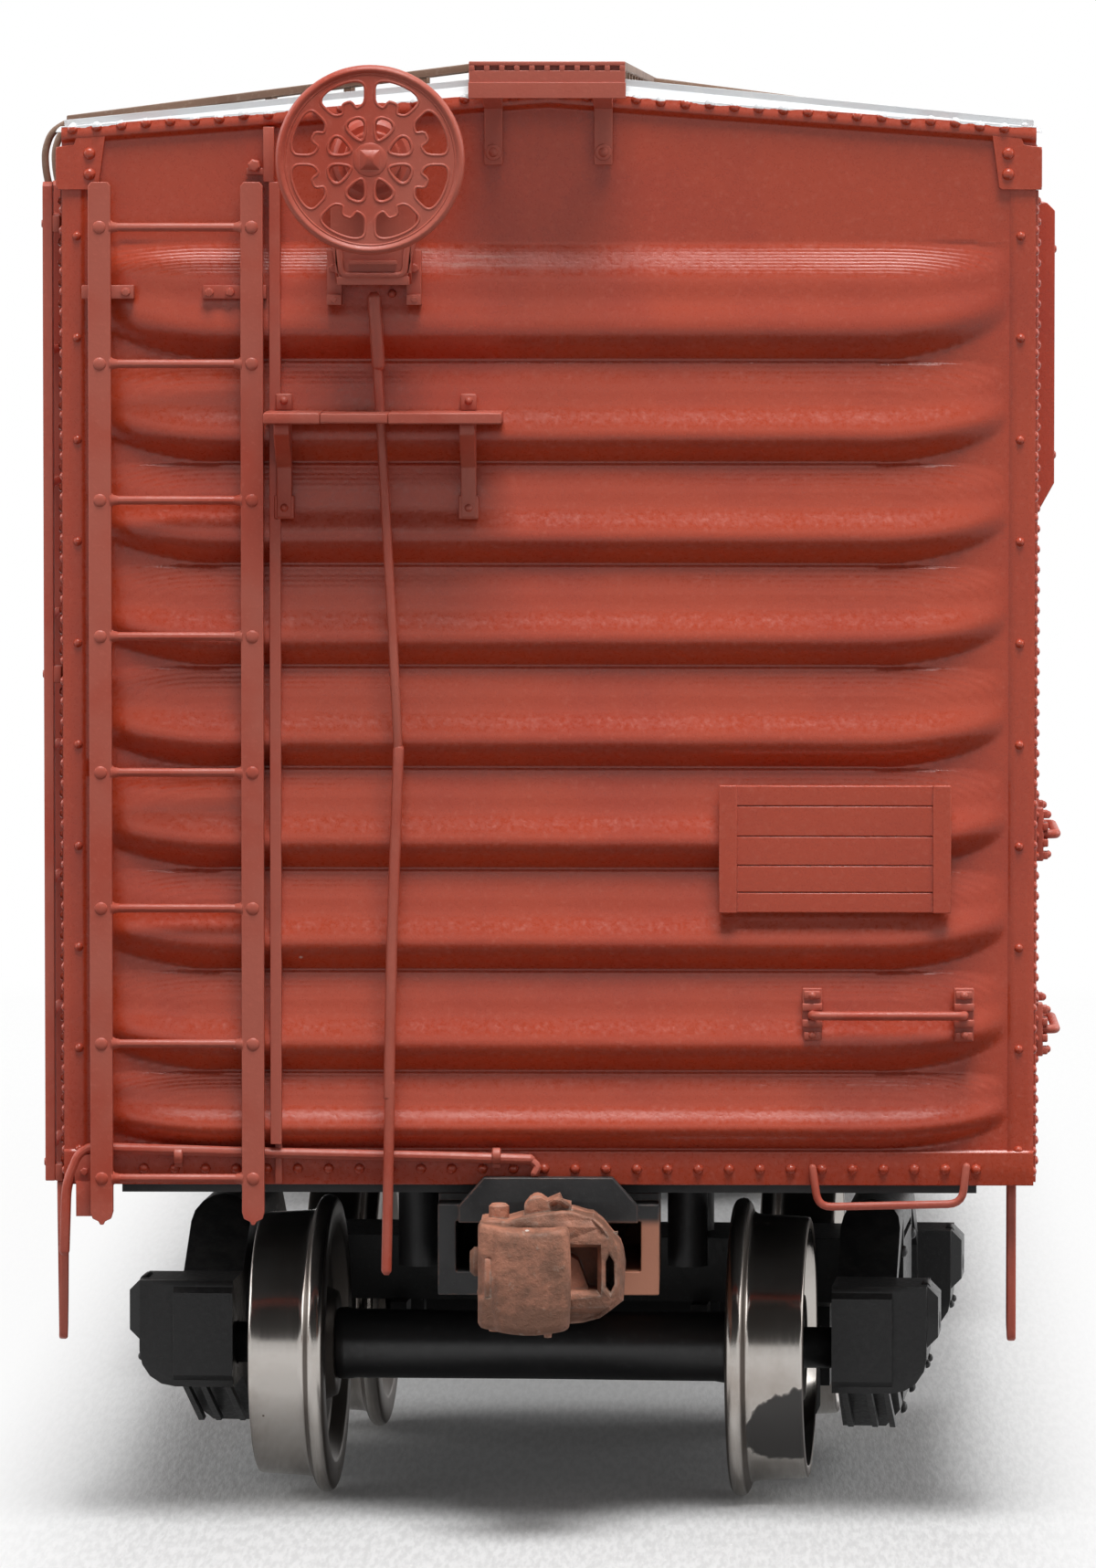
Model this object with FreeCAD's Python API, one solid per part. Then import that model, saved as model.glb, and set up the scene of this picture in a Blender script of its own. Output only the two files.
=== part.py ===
import FreeCAD, Part
import math
import os

# Scale model of a forty-foot steel railroad boxcar, 1:87, in millimetres.
# X is to the right, Y along the car and Z up; the brake end faces -Y.
# The origin is on the ground below the middle of the car, and the wheel flanges stand on z = 0.

V = FreeCAD.Vector

# Body shell
body_length = 144.0
body_width = 34.6
body_bottom = 12.25
eave_height = 49.75
ridge_rise = 1.3
wall = 1.0

# Corrugated ends: nine pressed ribs that taper to points at the corner posts
rib_count = 9
rib_band_drop = 4.05
top_rib_height = 4.1
last_rib_height = 2.76
rib_relief = 0.62
rib_inset = 0.3
rib_valley = 0.1
# Share of the rib's size at each distance inwards from the corner post's inner edge
rib_stations = ((0.0, 0.12), (0.4, 0.45), (1.35, 0.76), (2.85, 0.94), (4.85, 1.0))
rib_tip_lift = 0.62
rib_tip_fall = 0.1
rib_crown_share = 0.5
sill_flange_height = 1.25
sill_flange_relief = 0.3
top_flange_height = 0.55
top_flange_relief = 0.14
post_width = 0.95
post_relief = 0.12
cap_width = 1.5
cap_height = 2.05
cap_proud = 0.2
cap_relief = 0.26
cap_wrap = 1.6

# Sides with a six-foot doorway
door_opening_width = 21.0
door_opening_rise = 1.35
door_opening_margin = 1.1
sill_drop = 1.5
sill_drop_half = 44.0
sill_drop_run = 6.0
seam_count = 10
seam_width = 0.9
seam_relief = 0.12

# Roof sheets with raised seam caps
roof_ridge_thickness = 0.65
roof_eave_thickness = 0.2
roof_overhang = 0.2
roof_cap_count = 13
roof_cap_width = 0.9
roof_cap_height = 0.22

# Running board on the ridge and the two side boards across the roof
walk_rise = 0.55
walk_thickness = 0.3
walk_width = 5.5
walk_overhang = 3.3
walk_lip_height = 1.3
walk_lip_thickness = 0.35
saddle_width = 0.8
walk_bracket_x = 1.95
walk_bracket_width = 0.65
walk_bracket_drop = 1.15
walk_bracket_thickness = 0.3
side_walk_length = 6.2
side_walk_inset = 0.5
side_walk_margin = 0.15
side_walk_tip_rise = 0.4

# Floor, deck and the steel ballast plate inside
deck_thickness = 0.4
deck_margin = 2.0
floor_thickness = 1.2
ballast_margin = 6.0
ballast_width = 30.0
ballast_thickness = 1.1

# Underframe
center_sill_half = 2.1
center_sill_bottom = 10.0
center_sill_flange = 0.7
center_sill_flange_thickness = 0.35
truck_inset = 18.35
bolster_half_width = 2.2
bolster_bottom = 10.5
bolster_tip_depth = 0.45
crossbearer_count = 2
crossbearer_tie_count = 4
crossbearer_width = 1.1
crossbearer_depth = 1.5
crosstie_count = 9
crosstie_spacing = 9.0
crosstie_width = 0.7
crosstie_depth = 0.7
stringer_x = 8.6
stringer_width = 0.7
stringer_depth = 0.5
stringer_margin = 17.05

# Trucks
wheelbase = 19.25
tread_radius = 4.8
flange_radius = 5.45
flange_thickness = 0.76
wheel_width = 2.8
back_to_back = 14.54
axle_radius = 1.27
axle_stub_radius = 0.75
axle_half_length = 12.95
axle_point_length = 0.6
bearing_clearance = 0.06
side_inner = 10.95
side_web = 1.5
side_lip = 0.7
side_lip_width = 0.55
side_top_fall = 0.9
side_foot_rise = 0.8
side_foot_run = 0.6
crown_count = 8
journal_half = 1.75
journal_height = 3.9
journal_reach = 14.8
journal_round = 1.3
journal_lid_share = 0.42
journal_lid_thickness = 0.4
journal_top_share = 0.62
journal_neck_top_share = 0.35
journal_neck_bottom_share = 0.2
side_top = 10.35
side_bottom = 1.85
top_chord = 1.35
bottom_chord = 1.25
top_flat_margin = 1.5
bottom_flat_margin = 1.0
column_width = 0.9
window_share = 0.1403
window_gap = 0.1
truck_bolster_bottom = 6.3
truck_bolster_top = 8.7
truck_plate_radius = 2.6
truck_plate_gap = 0.1
side_bearing_x = 5.1
side_bearing_radius = 0.8
side_bearing_gap = 0.3
spring_share = 0.36
spring_groove = 0.22
spring_turn_count = 4
beam_height = 4.0
beam_radius = 0.4
beam_gap = 0.725
shoe_reach = 2.1
shoe_width = 1.7
shoe_height = 3.0
shoe_gap = 0.2
beam_arm_x = 5.6
beam_arm_width = 0.6
kingpin_radius = 0.9
kingpin_clearance = 0.08
kingpin_head_radius = 1.8
kingpin_head_height = 0.7
front_truck_angle = -3.8

# Draft gear boxes and couplers
box_half_width = 3.95
box_wall = 0.65
box_length = 9.5
box_bottom = 8.3
box_floor = 0.84
screw_boss_radius = 0.73
screw_boss_x = 4.93
screw_boss_bore = 0.3
screw_boss_bore_depth = 1.2
striker_thickness = 0.6
striker_half_width = 3.2
striker_top_half = 2.3
striker_bottom = 10.95
striker_shoulder = 11.55
striker_top = 12.57
coupler_reach = 6.2
coupler_pivot_depth = 6.0
coupler_post_radius = 0.8
coupler_eye_radius = 1.72
coupler_post_clearance = 0.06
shank_half_width = 1.15
shank_bottom = 9.3
shank_height = 1.4
head_top = 11.65
head_bottom = 7.65
head_ear = 0.45
knuckle_gap = 0.12
head_gap = 0.5
knuckle_pin_radius = 0.38
knuckle_pin_clearance = 0.05
knuckle_barrel_radius = 0.8
knuckle_pivot_x = -1.7
knuckle_pivot_reach = 3.15

# End ladders and side ladders
ladder_stile = 0.8
ladder_thickness = 0.45
ladder_margin = 1.0
ladder_width = 6.2
ladder_top_drop = 1.75
ladder_bottom_drop = 1.35
ladder_seat = 0.85
rung_count = 8
rung_top_drop = 1.6
rung_bottom_rise = 0.3
rung_radius = 0.16
ladder_foot = 0.7
pad_height = 0.6
pad_width = 1.3
pad_top_drop = 3.9
pad_bottom_rise = 0.5
pad_rib_count = 5
strip_gap = 0.2
strip_width = 0.4
side_ladder_proud = 0.75
side_ladder_thickness = 0.35
side_ladder_inset = 0.9
side_rung_count = 8
side_rung_rise = 1.15
side_rung_drop = 1.3
side_pad_drop = 1.8
roof_grab_bulge = 0.25

# Hand brake
wheel_center_x = -6.16
wheel_center_drop = 0.95
wheel_radius = 3.32
wheel_rim = 0.22
rim_corner_count = 8
wheel_reach = 5.2
wheel_hub_radius = 0.45
wheel_disc_radius = 1.93
wheel_disc_thickness = 0.3
wheel_spoke_count = 8
wheel_spoke_width = 0.36
wheel_tooth_radius = 0.22
wheel_tooth_ring = 1.98
wheel_hole_inner = 0.85
wheel_hole_outer = 1.58
wheel_hole_inner_half = 0.1
wheel_hole_outer_half = 0.34
wheel_hole_shoulder = 0.2
housing_width = 3.1
housing_height = 4.3
housing_depth = 2.6
housing_drop = 4.4
housing_foot_width = 3.7
housing_foot_height = 1.5
staff_radius = 0.4
brake_rod_radius = 0.17
brake_rod_reach = 1.35
brake_rod_drop = 3.05
brake_rod_kink_share = 0.52
step_left = -10.0
step_right = -1.6
step_drop = 9.85
step_thickness = 0.4
step_depth = 3.0
step_bracket_width = 0.55
step_bracket_height = 3.4
step_bracket_inset = 0.35
step_hole_clearance = 0.12

# Boards for paper notices, blank
tack_left = 6.07
tack_width = 8.25
tack_rise = 9.8
tack_height = 4.55
tack_thickness = 0.4
tack_batten = 0.65
tack_batten_relief = 0.15
side_board_drop = 13.65
side_board_height = 11.1
side_board_length = 6.0
side_board_offset = 9.0
side_board_thickness = 0.95

# Doors and tracks
door_width = 22.6
door_rise = 0.85
door_top_drop = 1.95
door_gap = 0.25
door_thickness = 0.45
door_corrugation = 0.4
door_corrugation_count = 15
door_frame = 1.0
door_travel = 20.5
track_thickness = 0.35
track_lip_height = 0.7
track_clearance = 0.1

# Grab irons, steps and uncoupling levers
grab_radius = 0.17
grab_reach = 0.8
grab_length = 5.4
side_grab_rises = (12.45, 5.45)
side_grab_inset = 1.6
end_grab_rise = 6.15
end_grab_left = 9.4
end_grab_length = 5.4
grab_foot = 0.7
grab_foot_height = 1.9
grab_foot_thickness = 0.35
sill_grab_drop = 0.7
strap_thickness = 0.34
step_iron_width = 0.6
step_iron_margin = 0.9
step_iron_length = 5.6
step_iron_inset = 1.0
step_iron_drop = 5.8
lever_radius = 0.19
lever_reach = 0.27
lever_rise = 1.1
lever_drop = 1.2
lever_inner_x = -0.65
lever_outer_margin = 0.6
lever_handle_drop = 2.4

# Air brake gear under the floor
cylinder_radius = 2.0
cylinder_length = 5.6
reservoir_radius = 2.2
reservoir_length = 11.5
gear_x = 5.6
gear_drop = 0.75
gear_strap = 0.8
valve_size = 2.6

overrun = 1.0

# Places worked out from the sizes above
half_length = body_length / 2
half_width = body_width / 2
ridge_height = eave_height + ridge_rise
rib_band_top = eave_height - rib_band_drop
rib_band_bottom = body_bottom + sill_flange_height
rib_top_valley = rib_band_top - top_rib_height
rib_pitch = (rib_top_valley - rib_band_bottom - last_rib_height) / (rib_count - 2)
rib_tip_half = half_width - post_width
cap_bottom = eave_height - cap_height
roof_ridge = ridge_height + roof_ridge_thickness
roof_eave = eave_height + roof_eave_thickness
walk_top = roof_ridge + walk_rise
walk_bracket_bottom = eave_height - walk_bracket_drop
side_walk_reach = half_width - side_walk_margin
side_walk_tip_top = roof_eave + side_walk_tip_rise
deck_bottom = body_bottom - deck_thickness
deck_half_width = half_width - deck_margin
floor_top = body_bottom + floor_thickness
ballast_length = body_length - 2 * ballast_margin
truck_y = half_length - truck_inset
stringer_half_length = truck_y - stringer_margin
crossbearer_spacing = crosstie_spacing * crossbearer_tie_count
beam_y = flange_radius + beam_gap - wheelbase / 2
window_half = wheelbase * window_share
spring_radius = min(window_half * spring_share, (side_web + side_lip) / 2)
wheel_back = back_to_back / 2
axle_height = flange_radius
journal_top = axle_height + journal_height * journal_top_share
journal_bottom = journal_top - journal_height
ladder_left = ladder_margin - half_width
ladder_top = eave_height - ladder_top_drop
ladder_bottom = body_bottom - ladder_bottom_drop
rung_top = ladder_top - rung_top_drop
rung_pitch = (rung_top - body_bottom - rung_bottom_rise) / (rung_count - 1)
side_rung_bottom = body_bottom + side_rung_rise
side_rung_pitch = (ladder_top - side_rung_drop - side_rung_bottom) / (side_rung_count - 1)
strip_left = ladder_left + ladder_width + strip_gap
wheel_center_z = eave_height - wheel_center_drop
housing_bottom = wheel_center_z - housing_drop
brake_rod_end = body_bottom - brake_rod_drop
step_top = eave_height - step_drop
tack_bottom = body_bottom + tack_rise
side_board_bottom = eave_height - side_board_drop
door_bottom = body_bottom + door_rise
door_height = eave_height - door_top_drop - door_bottom
door_opening_bottom = body_bottom + door_opening_rise
door_opening_height = door_height - door_opening_margin
lever_height = body_bottom + lever_rise
lever_outer_x = lever_outer_margin - half_width
roof_slope = (roof_ridge - roof_eave) / (half_width + roof_overhang)
end_slope = (ridge_height - eave_height) / half_width


def box(low, high):
    """Plain block between two corners."""
    return Part.makeBox(high[0] - low[0], high[1] - low[1], high[2] - low[2], V(*low))


def flat(points, direction):
    """Closed polygon pushed along a direction."""
    wire = Part.makePolygon(points + [points[0]])
    return Part.Face(wire).extrude(direction)


def along_x(points, start, end):
    """Prism along X from a (y, z) outline."""
    return flat([V(start, y, z) for y, z in points], V(end - start, 0, 0))


def along_y(points, start, end):
    """Prism along Y from an (x, z) outline."""
    return flat([V(x, start, z) for x, z in points], V(0, end - start, 0))


def along_z(points, start, end):
    """Prism along Z from an (x, y) outline."""
    return flat([V(x, y, start) for x, y in points], V(0, 0, end - start))


def rod(start, end, radius):
    """Round bar between two points."""
    line = end - start
    return Part.makeCylinder(radius, line.Length, start, line)


def bent_rod(points, radius):
    """Round bar through a list of points, mitred at each bend."""
    path = Part.Wire([Part.makeLine(a, b) for a, b in zip(points, points[1:])])
    circle = Part.Wire(Part.makeCircle(radius, points[0], points[1] - points[0]))
    # The last value asks for sharp mitred corners.
    return path.makePipeShell([circle], True, False, 1)


def fused(pieces):
    """One solid from touching pieces, with shared faces merged."""
    result = pieces[0]
    if len(pieces) > 1:
        result = pieces[0].multiFuse(pieces[1:])
    return result.removeSplitter()


def turned(shape, angle):
    """Copy turned about the vertical axis through the origin."""
    copy = shape.copy()
    copy.rotate(V(0, 0, 0), V(0, 0, 1), angle)
    return copy


def both_ends(shape):
    """The shape at the brake end and its half-turned twin at the other end."""
    return [shape, turned(shape, 180)]


def moved(shape, x, y, z):
    copy = shape.copy()
    copy.translate(V(x, y, z))
    return copy


def mirrored(shape):
    """Copy on the other side of the car's middle plane."""
    return shape.mirror(V(0, 0, 0), V(1, 0, 0))


def save(name, shapes):
    """Write the solids of one piece to its own file."""
    solids = []
    for shape in shapes:
        solids += shape.Solids
    whole = solids[0] if len(solids) == 1 else Part.makeCompound(solids)
    if not whole.isValid():
        print("not valid:", name)
    whole.exportStep(os.path.join("parts", name + ".step"))


def end_top(x):
    """Height of the end sheet's top edge at x."""
    return ridge_height - end_slope * abs(x)


def roof_top(x):
    """Height of the roof's outer face at x."""
    return roof_ridge - roof_slope * abs(x)


def rib_edges():
    """Heights of the valleys between the ribs, from the top down."""
    valleys = [rib_top_valley - rib_pitch * i for i in range(rib_count - 1)]
    return [rib_band_top] + valleys + [rib_band_bottom]


def rib_section(x, low, high, share):
    """Closed outline of a rib at x; towards the tips it shrinks and moves up."""
    height = high - low
    face = -half_length + rib_inset * share
    back = -half_length + wall / 2
    bottom = low + height * rib_tip_lift * (1 - share)
    top = high - height * rib_tip_fall * (1 - share)
    crown = V(x, -half_length - rib_relief * share, bottom + (top - bottom) * rib_crown_share)
    arc = Part.Arc(V(x, face, bottom), crown, V(x, face, top)).toShape()
    return Part.Wire([
        arc,
        Part.makeLine(V(x, face, top), V(x, back, top)),
        Part.makeLine(V(x, back, top), V(x, back, bottom)),
        Part.makeLine(V(x, back, bottom), V(x, face, bottom)),
    ])


def rib(low, high):
    """One pressed rib with pointed ends."""
    right = [(rib_tip_half - inwards, share) for inwards, share in rib_stations]
    stations = [(-x, share) for x, share in right] + right[::-1]
    sections = [rib_section(x, low + rib_valley / 2, high - rib_valley / 2, share) for x, share in stations]
    return Part.makeLoft(sections, True, True)


def end_sheet():
    """Outline of the whole end, pushed back by the wall thickness, with the ribs' band pressed in."""
    outline = [
        (-half_width, body_bottom),
        (half_width, body_bottom),
        (half_width, eave_height),
        (0, ridge_height),
        (-half_width, eave_height),
    ]
    sheet = along_y(outline, -half_length, -half_length + wall)
    face = -half_length
    full = rib_tip_half - rib_stations[-1][0]
    pocket = [
        (-rib_tip_half, face),
        (-full, face + rib_inset),
        (full, face + rib_inset),
        (rib_tip_half, face),
        (rib_tip_half, face - overrun),
        (-rib_tip_half, face - overrun),
    ]
    return sheet.cut(along_z(pocket, rib_band_bottom, rib_band_top))


def end_trim():
    """Flanges, corner posts and corner caps that frame the end's ribs."""
    face = -half_length
    pieces = [box((-half_width, face - sill_flange_relief, body_bottom), (half_width, face, rib_band_bottom))]
    top_flange = [
        (-half_width, eave_height - top_flange_height),
        (0, ridge_height - top_flange_height),
        (half_width, eave_height - top_flange_height),
        (half_width, eave_height),
        (0, ridge_height),
        (-half_width, eave_height),
    ]
    pieces.append(along_y(top_flange, face - top_flange_relief, face))
    for side in (-1, 1):
        edges = sorted((side * half_width, side * (half_width - post_width)))
        pieces.append(box((edges[0], face - post_relief, body_bottom), (edges[1], face, eave_height)))
        cap = [
            (side * (half_width + cap_proud), cap_bottom),
            (side * (half_width - cap_width), cap_bottom),
            (side * (half_width - cap_width), end_top(half_width - cap_width)),
            (side * half_width, eave_height),
            (side * (half_width + cap_proud), eave_height - end_slope * cap_proud),
        ]
        cap_front = along_y(cap, face - cap_relief, face + cap_wrap)
        inside = box((-half_width, face, body_bottom), (half_width, face + cap_wrap + overrun, ridge_height))
        pieces.append(cap_front.cut(inside))
    return pieces


def ladder_pads():
    """Bosses on the end that the ladder's stiles and the strip beside them rest on."""
    face = -half_length
    pieces = []
    levels = (ladder_top - pad_top_drop, rib_edges()[pad_rib_count], body_bottom + pad_bottom_rise)
    for z in levels:
        for x in (ladder_left + ladder_stile / 2, ladder_left + ladder_width - ladder_stile / 2):
            low = (x - pad_width / 2, face - ladder_seat, z - pad_height / 2)
            high = (x + pad_width / 2, face + wall / 2, z + pad_height / 2)
            if low[0] < -half_width:
                low = (-half_width, low[1], low[2])
            pieces.append(box(low, high))
    pieces.append(end_strip())
    return pieces


def end_strip():
    """Upright strip on the end beside the ladder, above the uncoupling lever."""
    low = (strip_left, -half_length - ladder_seat, lever_height + 2 * lever_radius)
    high = (strip_left + strip_width, -half_length + wall / 2, ladder_top)
    return box(low, high)


def end_wall():
    """Complete corrugated end at the brake end's place."""
    edges = rib_edges()
    ribs = [rib(low, high) for high, low in zip(edges, edges[1:])]
    return fused([end_sheet()] + ribs + end_trim() + ladder_pads())


def side_wall():
    """Right side: sheet with doorway, dropped sill and the laps between its sheets."""
    y = half_length - wall
    sill_end = sill_drop_half + sill_drop_run
    outline = [
        (-y, body_bottom),
        (-sill_end, body_bottom),
        (-sill_drop_half, body_bottom - sill_drop),
        (sill_drop_half, body_bottom - sill_drop),
        (sill_end, body_bottom),
        (y, body_bottom),
        (y, eave_height),
        (-y, eave_height),
    ]
    inner = half_width - wall
    sheet = along_x(outline, inner, half_width)
    top = along_y(
        [
            (inner, eave_height),
            (half_width, eave_height),
            (inner, end_top(inner)),
        ],
        -y,
        y,
    )
    pieces = [sheet, top]
    spacing = (2 * y - seam_width) / seam_count
    for i in range(seam_count + 1):
        low = -y + spacing * i
        pieces.append(box((half_width, low, body_bottom), (half_width + seam_relief, low + seam_width, cap_bottom)))
    doorway = box(
        (inner - overrun, -door_opening_width / 2, door_opening_bottom),
        (half_width + overrun, door_opening_width / 2, door_opening_bottom + door_opening_height),
    )
    door_zone = box(
        (half_width, -door_zone_half(), body_bottom - sill_drop),
        (half_width + overrun, door_zone_half(), eave_height),
    )
    return fused(pieces).cut(doorway).cut(door_zone)


def door_zone_half():
    """Half length of the plain stretch of side that the door slides over."""
    return door_width / 2 + door_travel + door_frame


def roof():
    """Sheet roof over the whole shell, with a raised cap on each seam."""
    outer = half_width + roof_overhang
    y = half_length + roof_overhang
    under = [(-half_width, eave_height), (0, ridge_height), (half_width, eave_height)]
    lip = roof_top(outer)
    outline = [(-outer, eave_height), (-outer, lip), (0, roof_ridge), (outer, lip), (outer, eave_height)]
    sheet = along_y(outline + under[::-1], -y, y)
    cap_line = [
        (-outer, lip),
        (0, roof_ridge),
        (outer, lip),
        (outer, lip + roof_cap_height),
        (0, roof_ridge + roof_cap_height),
        (-outer, lip + roof_cap_height),
    ]
    pieces = [sheet]
    spacing = (2 * y - roof_cap_width) / (roof_cap_count - 1)
    for i in range(roof_cap_count):
        low = -y + spacing * i
        pieces.append(along_y(cap_line, low, low + roof_cap_width))
    return fused(pieces)


def running_board():
    """Walk along the ridge on saddles, with a deep lip and two straps at each end."""
    reach = half_length + walk_overhang
    half = walk_width / 2
    bottom = walk_top - walk_thickness
    pieces = [box((-half, -reach, bottom), (half, reach, walk_top))]
    y = half_length + roof_overhang
    spacing = (2 * y - roof_cap_width) / (roof_cap_count - 1)
    for i in range(roof_cap_count):
        low = -y + spacing * i
        saddle = [
            (-half, bottom),
            (half, bottom),
            (half, roof_top(half) + roof_cap_height),
            (0, roof_ridge + roof_cap_height),
            (-half, roof_top(half) + roof_cap_height),
        ]
        pieces.append(along_y(saddle, low, low + saddle_width))
    for side in (-1, 1):
        ends = sorted((side * reach, side * (reach - walk_lip_thickness)))
        pieces.append(box((-half, ends[0], walk_top - walk_lip_height), (half, ends[1], walk_top)))
        for x in (-walk_bracket_x, walk_bracket_x):
            pieces.append(walk_bracket(x, side, reach))
    return fused(pieces)


def walk_bracket(x, side, reach):
    """Strap from the walk's lip back and down to the face of the end."""
    seat = half_length + top_flange_relief
    t = walk_bracket_thickness
    outer = reach - walk_lip_thickness
    lip = walk_top - walk_lip_height
    outline = [
        (seat, walk_bracket_bottom),
        (seat + t, walk_bracket_bottom),
        (seat + t, lip - t),
        (outer, lip),
        (outer, lip + t),
        (seat, lip),
    ]
    points = [(side * y, z) for y, z in outline]
    return along_x(points, x - walk_bracket_width / 2, x + walk_bracket_width / 2)


def side_walk():
    """Board across the roof beside the left ladder, from the ridge walk to the eave."""
    low = -half_length + side_walk_inset
    high = low + side_walk_length
    inner = walk_width / 2
    outline = [
        (-inner, walk_top),
        (-inner, walk_top - walk_thickness),
        (-side_walk_reach, side_walk_tip_top - walk_thickness),
        (-side_walk_reach, side_walk_tip_top),
    ]
    board = along_y(outline, low, high)
    foot = (side_walk_reach + inner) / 2
    level = (walk_top + side_walk_tip_top) / 2 - walk_thickness
    leg = box(
        (-foot - saddle_width / 2, low, roof_top(foot)),
        (-foot + saddle_width / 2, high, level + walk_thickness / 2),
    )
    clear = along_y([(-half_width, 0), (half_width, 0), (half_width, roof_top(half_width)), (0, roof_ridge),
                     (-half_width, roof_top(half_width))], low - overrun, high + overrun)
    cap = along_y([(-half_width, 0), (half_width, 0), (half_width, roof_top(half_width) + roof_cap_height),
                   (0, roof_ridge + roof_cap_height), (-half_width, roof_top(half_width) + roof_cap_height)],
                  -half_length - roof_overhang, -half_length - roof_overhang + roof_cap_width)
    return fused([board, leg]).cut(clear).cut(cap)


def roof_grabs():
    """Two bent bars from the side ladder's stiles over the eave to the side board."""
    x = -half_width - side_ladder_proud + side_ladder_thickness / 2
    low = -half_length + side_ladder_inset
    grabs = []
    for y in (low + ladder_stile / 2, low + ladder_width - ladder_stile / 2):
        points = [
            V(x, y, ladder_top),
            V(x - roof_grab_bulge, y, (ladder_top + roof_eave) / 2),
            V(x, y, roof_eave),
            V(-side_walk_reach, y, side_walk_tip_top - walk_thickness / 2),
        ]
        grabs.append(bent_rod(points, grab_radius))
    return grabs


def stile(low_x, low_y, depth, bottom, top):
    """Upright of an end ladder, with a pointed foot and a chamfered head."""
    middle = low_x + ladder_stile / 2
    side = ladder_stile / 4
    outline = [
        (low_x, bottom + ladder_foot),
        (middle - side, bottom),
        (middle + side, bottom),
        (low_x + ladder_stile, bottom + ladder_foot),
        (low_x + ladder_stile, top - side),
        (middle + side, top),
        (middle - side, top),
        (low_x, top - side),
    ]
    return along_y(outline, low_y, low_y + depth)


def end_ladder():
    """Ladder on the left of the end: two stiles and their rungs."""
    back = -half_length - ladder_seat
    front = back - ladder_thickness
    right = ladder_left + ladder_width
    pieces = [
        stile(ladder_left, front, ladder_thickness, ladder_bottom, ladder_top),
        stile(right - ladder_stile, front, ladder_thickness, ladder_bottom, ladder_top),
    ]
    y = (front + back) / 2
    for i in range(rung_count):
        z = rung_top - rung_pitch * i
        pieces.append(rod(V(ladder_left + ladder_stile / 2, y, z), V(right - ladder_stile / 2, y, z), rung_radius))
    return fused(pieces)


def side_ladder():
    """Ladder on the left side next to the brake end's corner."""
    outer = -half_width - side_ladder_proud
    inner = outer + side_ladder_thickness
    low = -half_length + side_ladder_inset
    high = low + ladder_width
    bottom = body_bottom
    pieces = []
    for start in (low, high - ladder_stile):
        pieces.append(box((outer, start, bottom), (inner, start + ladder_stile, ladder_top)))
        for z in (bottom, (bottom + ladder_top) / 2, ladder_top - side_pad_drop):
            pieces.append(box((inner, start, z), (-half_width - seam_relief, start + ladder_stile, z + pad_height)))
    x = (outer + inner) / 2
    for i in range(side_rung_count):
        z = side_rung_bottom + side_rung_pitch * i
        pieces.append(rod(V(x, low + ladder_stile / 2, z), V(x, high - ladder_stile / 2, z), rung_radius))
    return fused(pieces)


def brake_wheel():
    """Hand brake wheel: rim, spokes, toothed disc with an opening between each two spokes, and hub."""
    y = -half_length - wheel_reach
    center = V(wheel_center_x, y, wheel_center_z)
    rim_radius = wheel_radius - wheel_rim
    half_depth = wheel_disc_thickness / 2
    start = center - V(0, half_depth, 0)
    disc = Part.makeCylinder(wheel_disc_radius, wheel_disc_thickness, start, V(0, 1, 0))
    hub = Part.makeCylinder(wheel_hub_radius, wheel_disc_thickness * 2, center - V(0, wheel_disc_thickness, 0),
                            V(0, 1, 0))
    pieces = [ring(rim_radius, wheel_rim, center), disc, hub]
    holes = []
    for i in range(wheel_spoke_count):
        angle = 360 / wheel_spoke_count * i
        between = angle + 180 / wheel_spoke_count
        spoke = box((-wheel_spoke_width / 2, -half_depth, 0), (wheel_spoke_width / 2, half_depth, rim_radius))
        spoke.rotate(V(0, 0, 0), V(0, 1, 0), angle)
        pieces.append(moved(spoke, center.x, center.y, center.z))
        turn = math.radians(between)
        tooth = start + V(math.sin(turn) * wheel_tooth_ring, 0, math.cos(turn) * wheel_tooth_ring)
        pieces.append(Part.makeCylinder(wheel_tooth_radius, wheel_disc_thickness, tooth, V(0, 1, 0)))
        hole = wheel_opening()
        hole.rotate(V(0, 0, 0), V(0, 1, 0), between)
        holes.append(moved(hole, center.x, center.y, center.z))
    return fused(pieces).cut(Part.makeCompound(holes))


def wheel_opening():
    """Wedge-shaped cutter for one opening of the wheel's disc, pointing at the hub."""
    shoulder = wheel_hole_outer - wheel_hole_shoulder
    outline = [
        (-wheel_hole_inner_half, wheel_hole_inner),
        (wheel_hole_inner_half, wheel_hole_inner),
        (wheel_hole_outer_half, shoulder),
        (wheel_hole_outer_half - wheel_hole_shoulder, wheel_hole_outer),
        (wheel_hole_shoulder - wheel_hole_outer_half, wheel_hole_outer),
        (-wheel_hole_outer_half, shoulder),
    ]
    return along_y(outline, -overrun, overrun)


def ring(radius, thickness, center):
    """Ring about the Y direction, turned from a many-sided section."""
    points = []
    for i in range(rim_corner_count):
        angle = math.radians(360 / rim_corner_count * (i + 1 / 2))
        points.append(center + V(radius + thickness * math.cos(angle), thickness * math.sin(angle), 0))
    section = Part.Face(Part.makePolygon(points + [points[0]]))
    return section.revolve(center, V(0, 1, 0), 360)


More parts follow.
